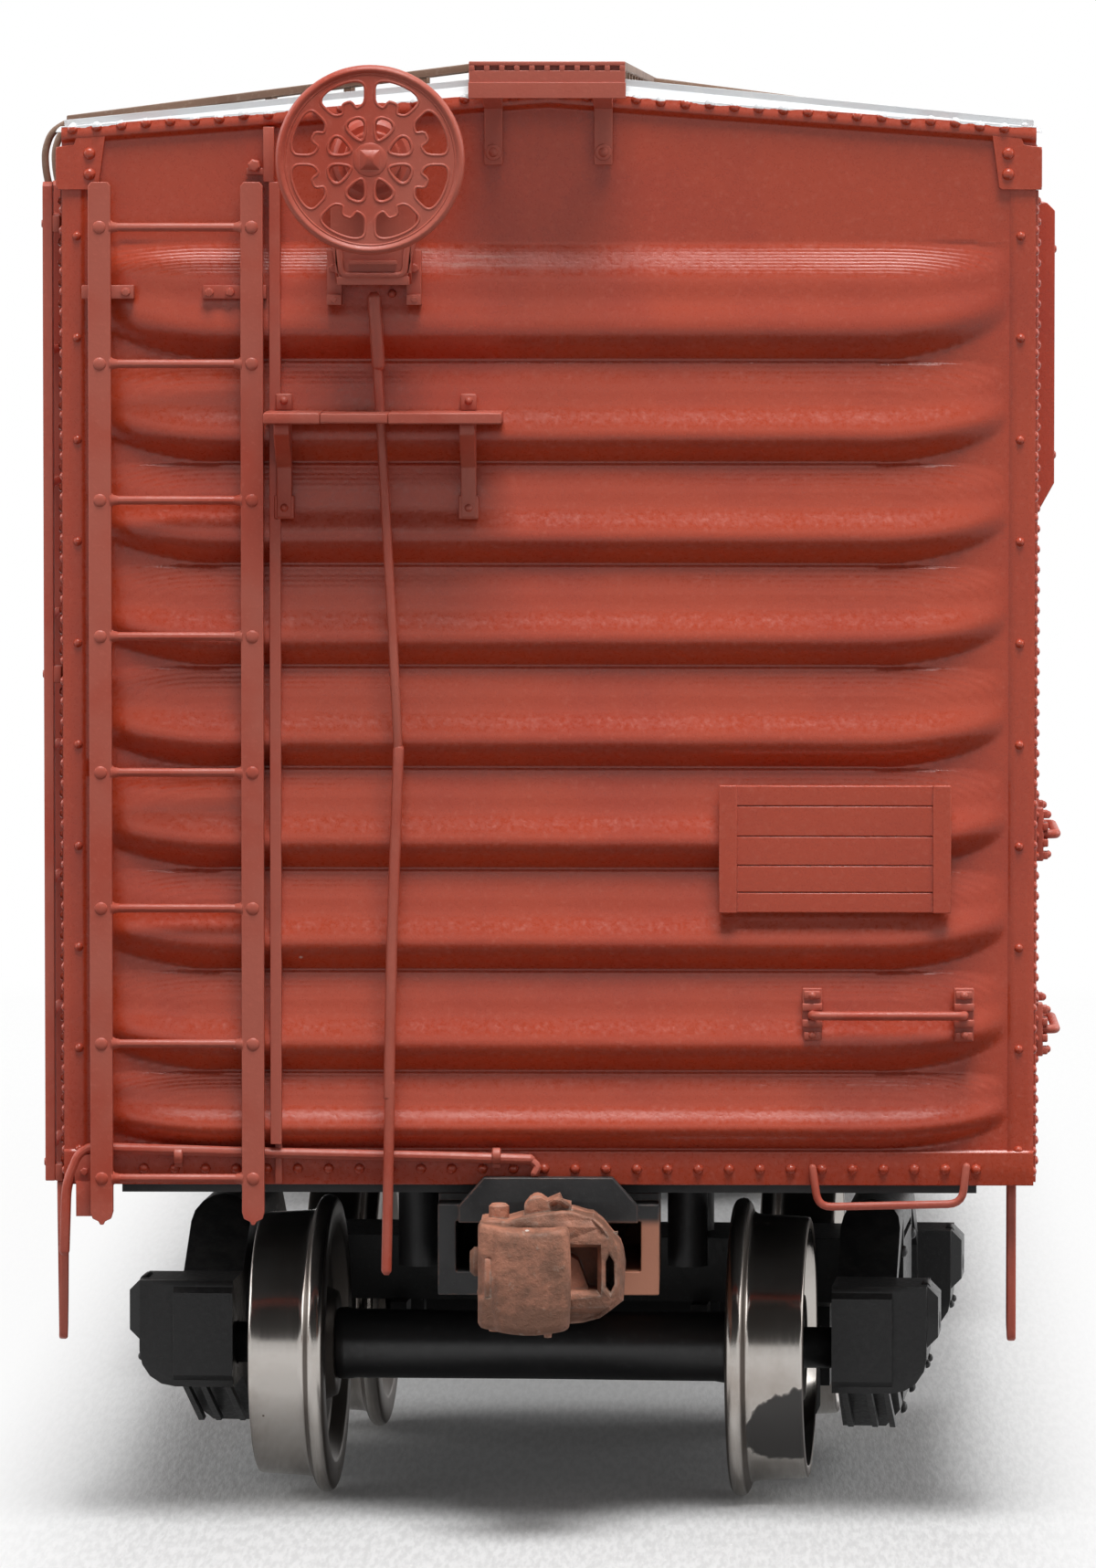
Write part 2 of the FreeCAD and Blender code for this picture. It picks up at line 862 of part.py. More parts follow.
def brake_housing():
    """Gear housing on the end behind the wheel, with its staff and a foot flange."""
    seat = -half_length - rib_relief
    x = wheel_center_x
    low = -half_length - housing_depth
    case = box(
        (x - housing_width / 2, low, housing_bottom),
        (x + housing_width / 2, seat, housing_bottom + housing_height),
    )
    foot = box(
        (x - housing_foot_width / 2, seat - tack_thickness, housing_bottom - housing_foot_height / 2),
        (x + housing_foot_width / 2, seat, housing_bottom + housing_foot_height / 2),
    )
    back = box(
        (x - housing_width / 2, seat, rib_band_top),
        (x + housing_width / 2, -half_length, housing_bottom + housing_height),
    )
    round_case = Part.makeCylinder(housing_width / 2, seat - low, V(x, low, wheel_center_z), V(0, 1, 0))
    staff_end = -half_length - wheel_reach + wheel_disc_thickness
    staff = rod(V(x, low, wheel_center_z), V(x, staff_end, wheel_center_z), staff_radius)
    return fused([case, foot, back, round_case, staff])


def brake_rod_points():
    """Line of the brake rod, which is kinked above the middle."""
    y = -half_length - brake_rod_reach
    top = housing_bottom - housing_foot_height / 2
    kink = brake_rod_end + (top - brake_rod_end) * brake_rod_kink_share
    lean = ladder_stile
    return [
        V(wheel_center_x, y, top),
        V(wheel_center_x + lean, y, kink),
        V(wheel_center_x + lean / 2, y, brake_rod_end),
    ]


def brake_step():
    """Narrow platform under the hand brake with two bent brackets."""
    seat = -half_length - rib_relief
    bottom = step_top - step_thickness
    board = box((step_left, seat - step_depth, bottom), (step_right, seat, step_top))
    pieces = [board]
    t = strap_thickness
    for x in (step_left + step_bracket_inset, step_right - step_bracket_inset - step_bracket_width):
        outline = [
            (seat, bottom),
            (seat, bottom - step_bracket_height),
            (seat - t, bottom - step_bracket_height),
            (seat - t, bottom - step_depth / 2),
            (seat - step_depth + t, bottom - t),
            (seat - step_depth + t, bottom),
        ]
        pieces.append(along_x(outline, x, x + step_bracket_width))
        pieces.append(box((x, seat - t, step_top), (x + step_bracket_width, seat, step_top + pad_height)))
    holes = bent_rod(brake_rod_points(), brake_rod_radius + step_hole_clearance)
    return fused(pieces).cut(holes).cut(end_strip())


def tack_board():
    """Blank wooden notice board with an upright batten at each end."""
    back = -half_length - rib_relief
    front = back - tack_thickness
    top = tack_bottom + tack_height
    pieces = [box((tack_left, front, tack_bottom), (tack_left + tack_width, back, top))]
    for x in (tack_left, tack_left + tack_width - tack_batten):
        pieces.append(box((x, front - tack_batten_relief, tack_bottom), (x + tack_batten, front, top)))
    return fused(pieces)


def side_board():
    """Blank board high on the right side near the brake end."""
    low = -half_length + side_board_offset
    x = half_width + seam_relief
    top = side_board_bottom + side_board_height
    outer = half_width + side_board_thickness
    outline = [
        (x, side_board_bottom),
        (outer - side_board_thickness / 2, side_board_bottom),
        (outer, side_board_bottom + side_board_thickness),
        (outer, top - side_board_thickness / 2),
        (outer - side_board_thickness / 2, top),
        (x, top),
    ]
    return along_y(outline, low, low + side_board_length)


def door():
    """Right door: corrugated sheet in a frame, with its handle bar."""
    inner = half_width + door_gap
    base = inner + door_thickness
    top = door_bottom + door_height
    half = door_width / 2
    sheet = box((inner, -half, door_bottom), (base, half, top))
    pieces = [sheet]
    low = door_bottom + door_frame
    pitch = (door_height - 2 * door_frame) / door_corrugation_count
    for i in range(door_corrugation_count):
        z = low + pitch * i
        y = -half + door_frame
        arc = Part.Arc(V(base, y, z), V(base + door_corrugation, y, z + pitch / 2), V(base, y, z + pitch)).toShape()
        line = Part.makeLine(V(base, y, z + pitch), V(base, y, z))
        pieces.append(Part.Face(Part.Wire([arc, line])).extrude(V(0, door_width - 2 * door_frame, 0)))
    for y in (-half, half - door_frame):
        pieces.append(box((base, y, door_bottom), (base + door_corrugation, y + door_frame, top)))
    for z in (door_bottom, top - door_frame):
        pieces.append(box((base, -half, z), (base + door_corrugation / 2, half, z + door_frame)))
    return fused(pieces)


def door_outer():
    """Distance of the door's outermost face from the middle plane."""
    return half_width + door_gap + door_thickness + door_corrugation


def door_tracks():
    """Bottom rail and top rail that hold the right door, from closed to open."""
    low = -door_width / 2 - door_frame
    high = door_width / 2 + door_travel + door_frame
    outer = door_outer() + track_clearance + track_thickness
    lip = outer - track_thickness
    bottom = door_bottom - track_clearance
    top = door_bottom + door_height + track_clearance
    lower = [
        (half_width, bottom),
        (half_width, bottom - track_thickness),
        (outer, bottom - track_thickness),
        (outer, bottom + track_lip_height),
        (lip, bottom + track_lip_height),
        (lip, bottom),
    ]
    upper = [
        (half_width, top),
        (half_width, top + track_thickness),
        (outer, top + track_thickness),
        (outer, top - track_lip_height),
        (lip, top - track_lip_height),
        (lip, top),
    ]
    return [along_y(lower, low, high), along_y(upper, low, high)]


def grab_iron(length):
    """Straight hand grab along X with a bolted foot at each end, back face on y = 0."""
    bar = [V(0, 0, 0), V(0, -grab_reach, 0), V(length, -grab_reach, 0), V(length, 0, 0)]
    pieces = [bent_rod(bar, grab_radius)]
    for x in (0, length):
        pieces.append(box(
            (x - grab_foot / 2, -grab_foot_thickness, -grab_foot_height / 2),
            (x + grab_foot / 2, 0, grab_foot_height / 2),
        ))
    return fused(pieces)


def side_grabs():
    """Grabs on the right side near the brake end's corner."""
    result = []
    for rise in side_grab_rises:
        grab = grab_iron(grab_length)
        grab.rotate(V(0, 0, 0), V(0, 0, 1), 90)
        result.append(moved(grab, half_width + seam_relief, -half_length + side_grab_inset,
                            body_bottom + rise))
    return result


def end_grabs():
    """Grab on the right of the end, and the hand hold under its sill."""
    seat = -half_length - rib_relief
    upper = moved(grab_iron(end_grab_length), end_grab_left, seat, body_bottom + end_grab_rise)
    y = -half_length - sill_flange_relief - grab_radius
    left = end_grab_left
    right = end_grab_left + end_grab_length
    middle = (body_bottom + rib_band_bottom) / 2
    lower = bent_rod(
        [
            V(left, y, middle),
            V(left, y, body_bottom - sill_grab_drop),
            V(right, y, body_bottom - sill_grab_drop),
            V(right, y, middle),
        ],
        grab_radius,
    )
    return [upper, lower]


def step_iron(outer):
    """Stirrup step next to the brake end, hung with its outer face at x."""
    low = -half_length + step_iron_inset
    high = low + step_iron_length
    bottom = body_bottom - step_iron_drop
    outline = [
        (low, body_bottom),
        (low, bottom),
        (high, bottom),
        (high, body_bottom),
        (high - step_iron_width, body_bottom),
        (high - step_iron_width, bottom + step_iron_width),
        (low + step_iron_width, bottom + step_iron_width),
        (low + step_iron_width, body_bottom),
    ]
    return along_x(outline, outer, outer + strap_thickness)


def cut_lever():
    """Uncoupling lever along the end sill, with its handle bent down at the corner."""
    y = -half_length - sill_flange_relief - lever_reach
    points = [
        V(lever_inner_x, y, lever_height),
        V(lever_outer_x, y, lever_height),
        V(-half_width, y, lever_height - lever_drop),
        V(-half_width, y, body_bottom - lever_handle_drop),
    ]
    lever = bent_rod(points, lever_radius)
    pieces = [lever]
    for x in (lever_inner_x - lever_drop, ladder_left + ladder_width / 2):
        eye = box(
            (x - lever_radius, y - lever_radius, lever_height - 2 * lever_radius),
            (x + lever_radius, -half_length - sill_flange_relief, lever_height),
        )
        pieces.append(eye)
    return fused(pieces)


def underframe():
    """Deck, center sill, body bolsters, crossbearers, crossties, stringers and screw bosses."""
    y = half_length - wall
    pieces = [box((-deck_half_width, -y, deck_bottom), (deck_half_width, y, body_bottom))]
    sill_y = y - box_length
    sill = center_sill_half
    flange = sill + center_sill_flange
    pieces.append(box((-sill, -sill_y, center_sill_bottom), (sill, sill_y, deck_bottom)))
    flange_y = truck_y - wheelbase / 2
    pieces.append(box(
        (-flange, -flange_y, center_sill_bottom),
        (flange, flange_y, center_sill_bottom + center_sill_flange_thickness),
    ))
    for side in (-1, 1):
        place = side * truck_y
        outline = [
            (-deck_half_width, deck_bottom),
            (-deck_half_width, deck_bottom - bolster_tip_depth),
            (-side_bearing_x - side_bearing_radius, bolster_bottom),
            (side_bearing_x + side_bearing_radius, bolster_bottom),
            (deck_half_width, deck_bottom - bolster_tip_depth),
            (deck_half_width, deck_bottom),
        ]
        pieces.append(along_y(outline, place - bolster_half_width, place + bolster_half_width))
        pieces.append(Part.makeCylinder(truck_plate_radius, deck_bottom - truck_plate_top(),
                                        V(0, place, truck_plate_top())))
    for i in range(crossbearer_count):
        place = (i - (crossbearer_count - 1) / 2) * crossbearer_spacing
        outline = [
            (-deck_half_width, deck_bottom),
            (-deck_half_width, deck_bottom - bolster_tip_depth),
            (-flange, deck_bottom - crossbearer_depth),
            (flange, deck_bottom - crossbearer_depth),
            (deck_half_width, deck_bottom - bolster_tip_depth),
            (deck_half_width, deck_bottom),
        ]
        pieces.append(along_y(outline, place - crossbearer_width / 2, place + crossbearer_width / 2))
    for i in range(crosstie_count):
        place = (i - (crosstie_count - 1) / 2) * crosstie_spacing
        pieces.append(box(
            (-deck_half_width, place - crosstie_width / 2, deck_bottom - crosstie_depth),
            (deck_half_width, place + crosstie_width / 2, deck_bottom),
        ))
    for x in (-stringer_x, stringer_x):
        pieces.append(box(
            (x - stringer_width / 2, -stringer_half_length, deck_bottom - stringer_depth),
            (x + stringer_width / 2, stringer_half_length, deck_bottom),
        ))
    boss_y = half_length - box_length
    for x in (-screw_boss_x, screw_boss_x):
        for place in (-boss_y, boss_y):
            boss = Part.makeCylinder(screw_boss_radius, deck_bottom - box_bottom, V(x, place, box_bottom))
            bore = Part.makeCylinder(screw_boss_bore, screw_boss_bore_depth, V(x, place, box_bottom))
            pieces.append(boss.cut(bore))
    bores = [
        Part.makeCylinder(kingpin_radius, body_bottom - truck_plate_top() + overrun,
                          V(0, side * truck_y, truck_plate_top() - overrun / 2)).cut(
                              box((-flange, -body_length, deck_bottom), (flange, body_length, body_bottom + overrun)))
        for side in (-1, 1)
    ]
    return fused(pieces).cut(Part.makeCompound(bores))


def truck_plate_top():
    """Underside of the body's center plate."""
    return center_sill_bottom


def floor_plate():
    """Floor inside the shell, between the side and end sheets."""
    x = half_width - wall
    y = half_length - wall
    return box((-x, -y, body_bottom), (x, y, floor_top))


def ballast():
    """Steel plate on the floor that gives the model its weight."""
    return box(
        (-ballast_width / 2, -ballast_length / 2, floor_top),
        (ballast_width / 2, ballast_length / 2, floor_top + ballast_thickness),
    )


def coupler_box():
    """Draft gear box with the striker plate and the carrier under the shank."""
    front = -half_length - sill_flange_relief
    back = -half_length + box_length
    cavity = box_half_width - box_wall
    floor = box_bottom + box_floor
    ceiling = deck_bottom
    shell = box((-box_half_width, front, box_bottom), (box_half_width, back, ceiling))
    shell = shell.cut(box((-cavity, front - overrun, floor), (cavity, back - box_wall, striker_bottom)))
    corner = box((-box_half_width - overrun, front - overrun, striker_shoulder),
                 (box_half_width + overrun, -half_length + wall, striker_top))
    shell = shell.cut(corner)
    striker = along_y(
        [
            (-striker_half_width, striker_bottom),
            (-striker_half_width, striker_shoulder),
            (-striker_top_half, striker_top),
            (striker_top_half, striker_top),
            (striker_half_width, striker_shoulder),
            (striker_half_width, striker_bottom),
        ],
        front - striker_thickness,
        front,
    )
    post = Part.makeCylinder(coupler_post_radius, striker_bottom - floor,
                             V(0, -half_length + coupler_pivot_depth, floor))
    return fused([shell, striker, post])


def coupler_head():
    """Coupler: shank with its eye, head, guard arm, ears and knuckle pin."""
    eye_y = -half_length + coupler_pivot_depth
    head_y = -half_length - striker_thickness - sill_flange_relief - head_gap
    shank_top = shank_bottom + shank_height
    shank = box((-shank_half_width, head_y, shank_bottom), (shank_half_width, eye_y, shank_top))
    eye = Part.makeCylinder(coupler_eye_radius, shank_height, V(0, eye_y, shank_bottom))
    face = -half_length - coupler_reach
    guard = head_half()
    pivot = V(knuckle_pivot_x, -half_length - knuckle_pivot_reach, 0)
    guard_inner = guard - shank_half_width
    throat = head_y - head_ear * 2
    outline = [
        (-guard, head_y),
        (guard, head_y),
        (guard, face + coupler_reach / 4),
        (guard - head_ear, face + head_ear),
        (guard_inner, face + coupler_reach / 4),
        (guard_inner - head_ear, throat),
        (-guard, throat),
    ]
    head = along_z(outline, head_bottom, head_top)
    ears = []
    reach = knuckle_barrel_radius + head_ear
    for low in (head_bottom, head_top - head_ear):
        ear = box((pivot.x - reach / 2, pivot.y, low), (guard_inner - head_ear, throat, low + head_ear))
        lug = Part.makeCylinder(knuckle_barrel_radius, head_ear, V(pivot.x, pivot.y, low))
        ears += [ear, lug]
    pin = Part.makeCylinder(knuckle_pin_radius, head_top - head_bottom, V(pivot.x, pivot.y, head_bottom))
    lock = Part.makeCylinder(head_ear, head_ear * 2, V(0, head_y - head_ear, head_top - head_ear))
    solid = fused([shank, eye, head] + ears + [pin, lock])
    bore = Part.makeCylinder(coupler_post_radius + coupler_post_clearance, shank_height + overrun,
                             V(0, eye_y, shank_bottom - overrun / 2))
    room = Part.makeCylinder(knuckle_barrel_radius + knuckle_gap, knuckle_height() + 2 * knuckle_gap,
                             V(pivot.x, pivot.y, head_bottom + head_ear))
    room = room.cut(Part.makeCylinder(knuckle_pin_radius, body_bottom, V(pivot.x, pivot.y, 0)))
    return solid.cut(bore).cut(room)


def head_half():
    """Half width of the coupler head."""
    return shank_half_width + knuckle_gap - knuckle_pivot_x - knuckle_pin_radius / 2


def knuckle_height():
    """Height of the knuckle between the head's ears."""
    return head_top - head_bottom - 2 * head_ear - 2 * knuckle_gap


def knuckle():
    """Hooked knuckle that turns on the head's pin."""
    face = -half_length - coupler_reach
    px = knuckle_pivot_x
    py = -half_length - knuckle_pivot_reach
    low = head_bottom + head_ear + knuckle_gap
    high = low + knuckle_height()
    r = knuckle_barrel_radius
    tip = -px / 2
    outline = [
        (px - r, py),
        (px - r, face + r / 2),
        (px - r / 2, face),
        (tip - r / 4, face),
        (tip, face + r / 4),
        (tip, face + 2 * r),
        (tip - r, face + 2 * r),
        (tip - r, face + r + r / 2),
        (px + r, face + r + r / 2),
        (px + r, py),
    ]
    arm = along_z(outline, low, high)
    barrel = Part.makeCylinder(r, high - low, V(px, py, low))
    bore = Part.makeCylinder(knuckle_pin_radius + knuckle_pin_clearance, high - low + overrun,
                             V(px, py, low - overrun / 2))
    return fused([arm, barrel]).cut(bore)


def side_frame_outline():
    """Outer (y, z) outline of a truck side frame, symmetric about its middle."""
    half = wheelbase / 2
    inner = half - journal_half
    outer = half + journal_half
    top = journal_top
    bottom = journal_bottom
    chamfer = journal_half / 4
    right = [
        (window_half + bottom_flat_margin, side_bottom),
        (inner, bottom),
        (outer - chamfer, bottom),
        (outer, bottom + chamfer),
        (outer, top - chamfer),
        (outer - chamfer, top),
        (inner, top),
        (window_half + top_flat_margin, side_top),
    ]
    left = [(-y, z) for y, z in right[::-1]]
    return right + left


def side_windows(grow):
    """The three openings of a side frame; grow widens them into the recess of the lip."""
    half = wheelbase / 2
    column = window_half + column_width - grow
    inner = half - journal_half
    rise = side_top - top_chord + grow
    sink = side_bottom + bottom_chord - grow
    near = inner - column_width + grow
    top = axle_height + journal_height * journal_neck_top_share + grow
    bottom = axle_height - journal_height * journal_neck_bottom_share - grow
    triangle = [(column, rise), (near, top), (near, bottom), (column, sink)]
    return [triangle, [(-y, z) for y, z in triangle[::-1]]]


def side_section(outer):
    """(x, z) section of a side frame with a rounded top and an easy lower outer corner."""
    middle = (side_inner + outer) / 2
    half = (outer - side_inner) / 2
    section = [
        (side_inner, side_bottom),
        (outer - side_foot_run, side_bottom),
        (outer, side_bottom + side_foot_rise),
    ]
    for i in range(crown_count + 1):
        angle = math.pi * i / crown_count
        section.append((middle + half * math.cos(angle), side_top - side_top_fall * (1 - math.sin(angle))))
    return section


def journal_case():
    """(x, z) outline of a journal case, rounded at its lower outer corner."""
    lid = journal_reach - journal_lid_thickness
    outline = [(side_inner, journal_bottom)]
    for i in range(crown_count // 2 + 1):
        angle = math.pi * i / crown_count
        outline.append((lid - journal_round * (1 - math.sin(angle)),
                        journal_bottom + journal_round * (1 - math.cos(angle))))
    return outline + [(lid, journal_top), (side_inner, journal_top)]


def side_frame():
    """Right cast side frame: chords, columns, journal boxes with lids, and springs."""
    lip = side_inner + side_web
    outer = lip + side_lip
    half = wheelbase / 2
    outline = side_frame_outline()
    web = along_x(outline, side_inner, outer)
    reach = half + journal_half
    crown = along_y(side_section(outer), -reach, reach)
    middle = box(
        (side_inner - overrun, -window_half, side_bottom + bottom_chord),
        (outer + overrun, window_half, side_top - top_chord),
    )
    cuts = [middle]
    cuts += [along_x(w, side_inner - overrun, outer + overrun) for w in side_windows(0)]
    cuts += [along_x(w, lip, outer + overrun) for w in side_windows(side_lip_width)]
    frame = web.common(crown).cut(Part.makeCompound(cuts))
    pieces = [frame]
    lid = journal_reach - journal_lid_thickness
    lid_bottom = journal_bottom + journal_height * journal_lid_share
    for y in (-half, half):
        cover = [
            (lid, lid_bottom),
            (journal_reach, lid_bottom + journal_lid_thickness),
            (journal_reach, journal_top - journal_lid_thickness),
            (lid, journal_top),
        ]
        near = journal_half - journal_lid_thickness / 2
        pieces.append(along_y(journal_case(), y - near, y + near))
        pieces.append(along_y(cover, y - near + journal_lid_thickness, y + near - journal_lid_thickness))
    for y in (-window_half / 2, window_half / 2):
        pieces.append(spring(side_inner + (side_web + side_lip) / 2, y))
    solid = fused(pieces)
    for y in (-half, half):
        bore = Part.makeCylinder(axle_stub_radius + bearing_clearance, axle_half_length + bearing_clearance * 2,
                                 V(0, y, axle_height), V(1, 0, 0))
        solid = solid.cut(bore)
    return solid


def spring(x, y):
    """Closed coil spring pack between the lower chord and the bolster's end."""
    low = side_bottom + bottom_chord
    high = truck_bolster_bottom
    pitch = (high - low) / spring_turn_count
    points = [V(0, 0, low), V(spring_radius - spring_groove, 0, low)]
    for i in range(spring_turn_count):
        z = low + pitch * i
        points += [V(spring_radius, 0, z + pitch / 2), V(spring_radius - spring_groove, 0, z + pitch)]
    points.append(V(0, 0, high))
    profile = Part.Face(Part.makePolygon(points + [points[0]]))
    return moved(profile.revolve(V(0, 0, 0), V(0, 0, 1), 360), x, y, 0)


def truck_bolster():
    """Bolster across the truck, with its center plate and side bearings."""
    reach = side_inner + side_web + side_lip
    top = truck_bolster_top
    end_top_z = side_top - top_chord - window_gap
    outline = [
        (-reach, truck_bolster_bottom),
        (reach, truck_bolster_bottom),
        (reach, min(top, end_top_z)),
        (-reach, min(top, end_top_z)),
    ]
    beam = along_y(outline, -window_half, window_half)
    plate_top = truck_plate_top() - truck_plate_gap
    plate = Part.makeCylinder(truck_plate_radius, plate_top - truck_bolster_bottom, V(0, 0, truck_bolster_bottom))
    pieces = [beam, plate]
    bearing_top = bolster_bottom - side_bearing_gap
    for x in (-side_bearing_x, side_bearing_x):
        pieces.append(Part.makeCylinder(side_bearing_radius, bearing_top - truck_bolster_bottom,
                                        V(x, 0, truck_bolster_bottom)))
    bore = Part.makeCylinder(kingpin_radius + kingpin_clearance, body_bottom, V(0, 0, 0))
    return fused(pieces).cut(bore)


def brake_beam():
    """Brake beam beside the near wheel pair with its two shoes and its arms to the bolster."""
    half = wheelbase / 2
    reach = wheel_back + wheel_width
    bar = rod(V(-reach, beam_y, beam_height), V(reach, beam_y, beam_height), beam_radius)
    pieces = [bar]
    wheel_room = Part.makeCylinder(tread_radius + shoe_gap, 2 * half_width, V(-half_width, -half, axle_height),
                                   V(1, 0, 0))
    for side in (-1, 1):
        edges = sorted((side * (reach - shoe_width), side * reach))
        shoe = box((edges[0], beam_y - shoe_reach, beam_height - shoe_height / 2),
                   (edges[1], beam_y + beam_radius, beam_height + shoe_height / 2))
        pieces.append(shoe.cut(wheel_room))
        low = side * beam_arm_x - beam_arm_width / 2
        high = side * beam_arm_x + beam_arm_width / 2
        pieces.append(box((low, beam_y - beam_radius, beam_height), (high, beam_y + beam_radius,
                                                                     truck_bolster_bottom)))
        pieces.append(box((low, beam_y, truck_bolster_bottom - beam_arm_width),
                          (high, beam_arm_width - window_half, truck_bolster_bottom)))
    return fused(pieces)


def kingpin():
    """Screw that holds a truck under the body, at the truck's middle."""
    head_top_z = truck_bolster_bottom - truck_plate_gap
    head = Part.makeCylinder(kingpin_head_radius, kingpin_head_height, V(0, 0, head_top_z - kingpin_head_height))
    shank = Part.makeCylinder(kingpin_radius, deck_bottom - head_top_z, V(0, 0, head_top_z))
    return fused([head, shank])


def wheel():
    """Right wheel as a turned profile: flange, coned tread, dished web and hub."""
    back = wheel_back
    front = back + wheel_width
    root = back + flange_thickness
    rim_inner = tread_radius - wheel_width / 4
    hub = axle_radius + wheel_width / 4
    cone = wheel_width / 40
    dish = wheel_width / 5
    profile = [
        (back, axle_stub_radius),
        (back, hub),
        (back + dish, hub),
        (back + dish, rim_inner),
        (back, rim_inner),
        (back, flange_radius - flange_thickness / 4),
        (back + flange_thickness / 4, flange_radius),
        (root - flange_thickness / 3, flange_radius),
        (root, tread_radius + cone),
        (front, tread_radius - cone),
        (front, rim_inner),
        (front - dish, rim_inner),
        (front - dish, hub),
        (front, hub),
        (front, axle_stub_radius),
    ]
    points = [V(x, 0, r) for x, r in profile]
    face = Part.Face(Part.makePolygon(points + [points[0]]))
    return face.revolve(V(0, 0, 0), V(1, 0, 0), 360)


def axle():
    """Axle with a thick middle between the wheels and pointed ends in the bearings."""
    reach = axle_half_length
    profile = [
        (-reach, 0),
        (-reach + axle_point_length, axle_stub_radius),
        (-wheel_back, axle_stub_radius),
        (-wheel_back, axle_radius),
        (wheel_back, axle_radius),
        (wheel_back, axle_stub_radius),
        (reach - axle_point_length, axle_stub_radius),
        (reach, 0),
    ]
    points = [V(x, 0, r) for x, r in profile]
    face = Part.Face(Part.makePolygon(points + [points[0]]))
    return face.revolve(V(0, 0, 0), V(1, 0, 0), 360)


def placed_truck(shape, side):
    """Move a truck piece from the origin to its place, the near truck turned as it stands."""
    angle = front_truck_angle if side < 0 else 0
    return moved(turned(shape, angle), 0, side * truck_y, 0)


def brake_cylinder():
    """Air brake cylinder hung beside the center sill."""
    z = deck_bottom - gear_drop - cylinder_radius
    start = crosstie_width / 2 + gear_strap
    end = start + cylinder_length
    body = Part.makeCylinder(cylinder_radius, cylinder_length, V(gear_x, start, z), V(0, 1, 0))
    cone = Part.makeCone(cylinder_radius, cylinder_radius / 3, cylinder_radius, V(gear_x, end, z), V(0, 1, 0))
    push = Part.makeCylinder(lever_radius * 2, cylinder_length, V(gear_x, end, z), V(0, 1, 0))
    hanger = box((gear_x - cylinder_radius / 2, start, z),
                 (gear_x + cylinder_radius / 2, end - gear_strap, deck_bottom))
    return fused([body, cone, push, hanger])


def air_reservoir():
    """Air tank hung on two straps beside the center sill."""
    z = deck_bottom - gear_drop - reservoir_radius
    start = -reservoir_length - 2 * gear_strap
    body = Part.makeCylinder(reservoir_radius, reservoir_length, V(-gear_x, start, z), V(0, 1, 0))
    pieces = [body]
    for y in (start + gear_strap, start + reservoir_length - 2 * gear_strap):
        pieces.append(box((-gear_x - reservoir_radius, y, z), (-gear_x + reservoir_radius, y + gear_strap,
                                                               deck_bottom)))
    return fused(pieces)


def control_valve():
    """Brake control valve on its bracket."""
    size = valve_size
    y = crosstie_spacing + crosstie_width
    z = deck_bottom - size
    block = box((-gear_x - size / 2, y, z), (-gear_x + size / 2, y + size, deck_bottom))
    bulge = Part.makeCylinder(size / 3, size * 2, V(-gear_x, y + size / 2, z + size / 3) - V(size, 0, 0), V(1, 0, 0))
    return fused([block, bulge])


def main():
    os.makedirs("parts", exist_ok=True)
    save("end_brake", [end_wall()])
    save("end_plain", [turned(end_wall(), 180)])
    save("side_right", [side_wall()])
    save("side_left", [mirrored(side_wall())])
    save("roof", [roof()])
    save("running_board", [running_board()])
    save("roof_side_boards", both_ends(side_walk()))
    save("roof_grabs", [g for grab in roof_grabs() for g in both_ends(grab)])
    save("end_ladders", both_ends(end_ladder()))
    save("side_ladders", both_ends(side_ladder()))
    save("brake_wheel", [brake_wheel()])
    save("brake_housing", [brake_housing()])
    save("brake_rod", [bent_rod(brake_rod_points(), brake_rod_radius)])
    save("brake_step", [brake_step()])
    save("tack_boards", both_ends(tack_board()))
    boards = both_ends(side_board())
    save("side_boards", boards + [mirrored(board) for board in boards])
    save("door_right", [door()])
    save("door_left", [turned(door(), 180)])
    tracks = door_tracks()
    save("door_tracks", tracks + [turned(track, 180) for track in tracks])
    grabs = side_grabs()
    save("side_grabs", grabs + [turned(grab, 180) for grab in grabs])
    save("end_grabs", [g for grab in end_grabs() for g in both_ends(grab)])
    inner_step = step_iron(step_iron_margin - half_width - strap_thickness)
    outer_step = step_iron(-half_width - strap_thickness)
    save("sill_steps", both_ends(outer_step) + [mirrored(step) for step in both_ends(inner_step)])
    save("cut_levers", both_ends(cut_lever()))
    save("underframe", [underframe()])
    save("floor_plate", [floor_plate()])
    save("ballast_plate", [ballast()])
    save("coupler_boxes", both_ends(coupler_box()))
    save("brake_cylinder", [brake_cylinder()])
    save("air_reservoir", [air_reservoir()])
    save("control_valve", [control_valve()])
    heads = both_ends(coupler_head())
    knuckles = both_ends(knuckle())
    for i, name in enumerate(("front", "rear")):
        save("coupler_" + name, [heads[i]])
        save("knuckle_" + name, [knuckles[i]])
    frame = side_frame()
    bolster = truck_bolster()
    beams = both_ends(brake_beam())
    pin = kingpin()
    save("kingpins", [placed_truck(pin, -1), placed_truck(pin, 1)])
    wheel_pair = [wheel(), mirrored(wheel())]
    number = 0
    for side, name in ((-1, "front"), (1, "rear")):
        save("truck_" + name + "_sides", [placed_truck(s, side) for s in (frame, mirrored(frame))])
        save("truck_" + name + "_bolster", [placed_truck(bolster, side)])
        save("truck_" + name + "_brakes", [placed_truck(beam, side) for beam in beams])
        for y in (-wheelbase / 2, wheelbase / 2):
            number += 1
            save("wheels_%d" % number, [placed_truck(moved(w, 0, y, axle_height), side) for w in wheel_pair])
            save("axle_%d" % number, [placed_truck(moved(axle(), 0, y, axle_height), side)])


main()
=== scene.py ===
import math
import random

import bmesh
import bpy
from bpy.props import FloatProperty, FloatVectorProperty, PointerProperty
from mathutils import Matrix, Vector


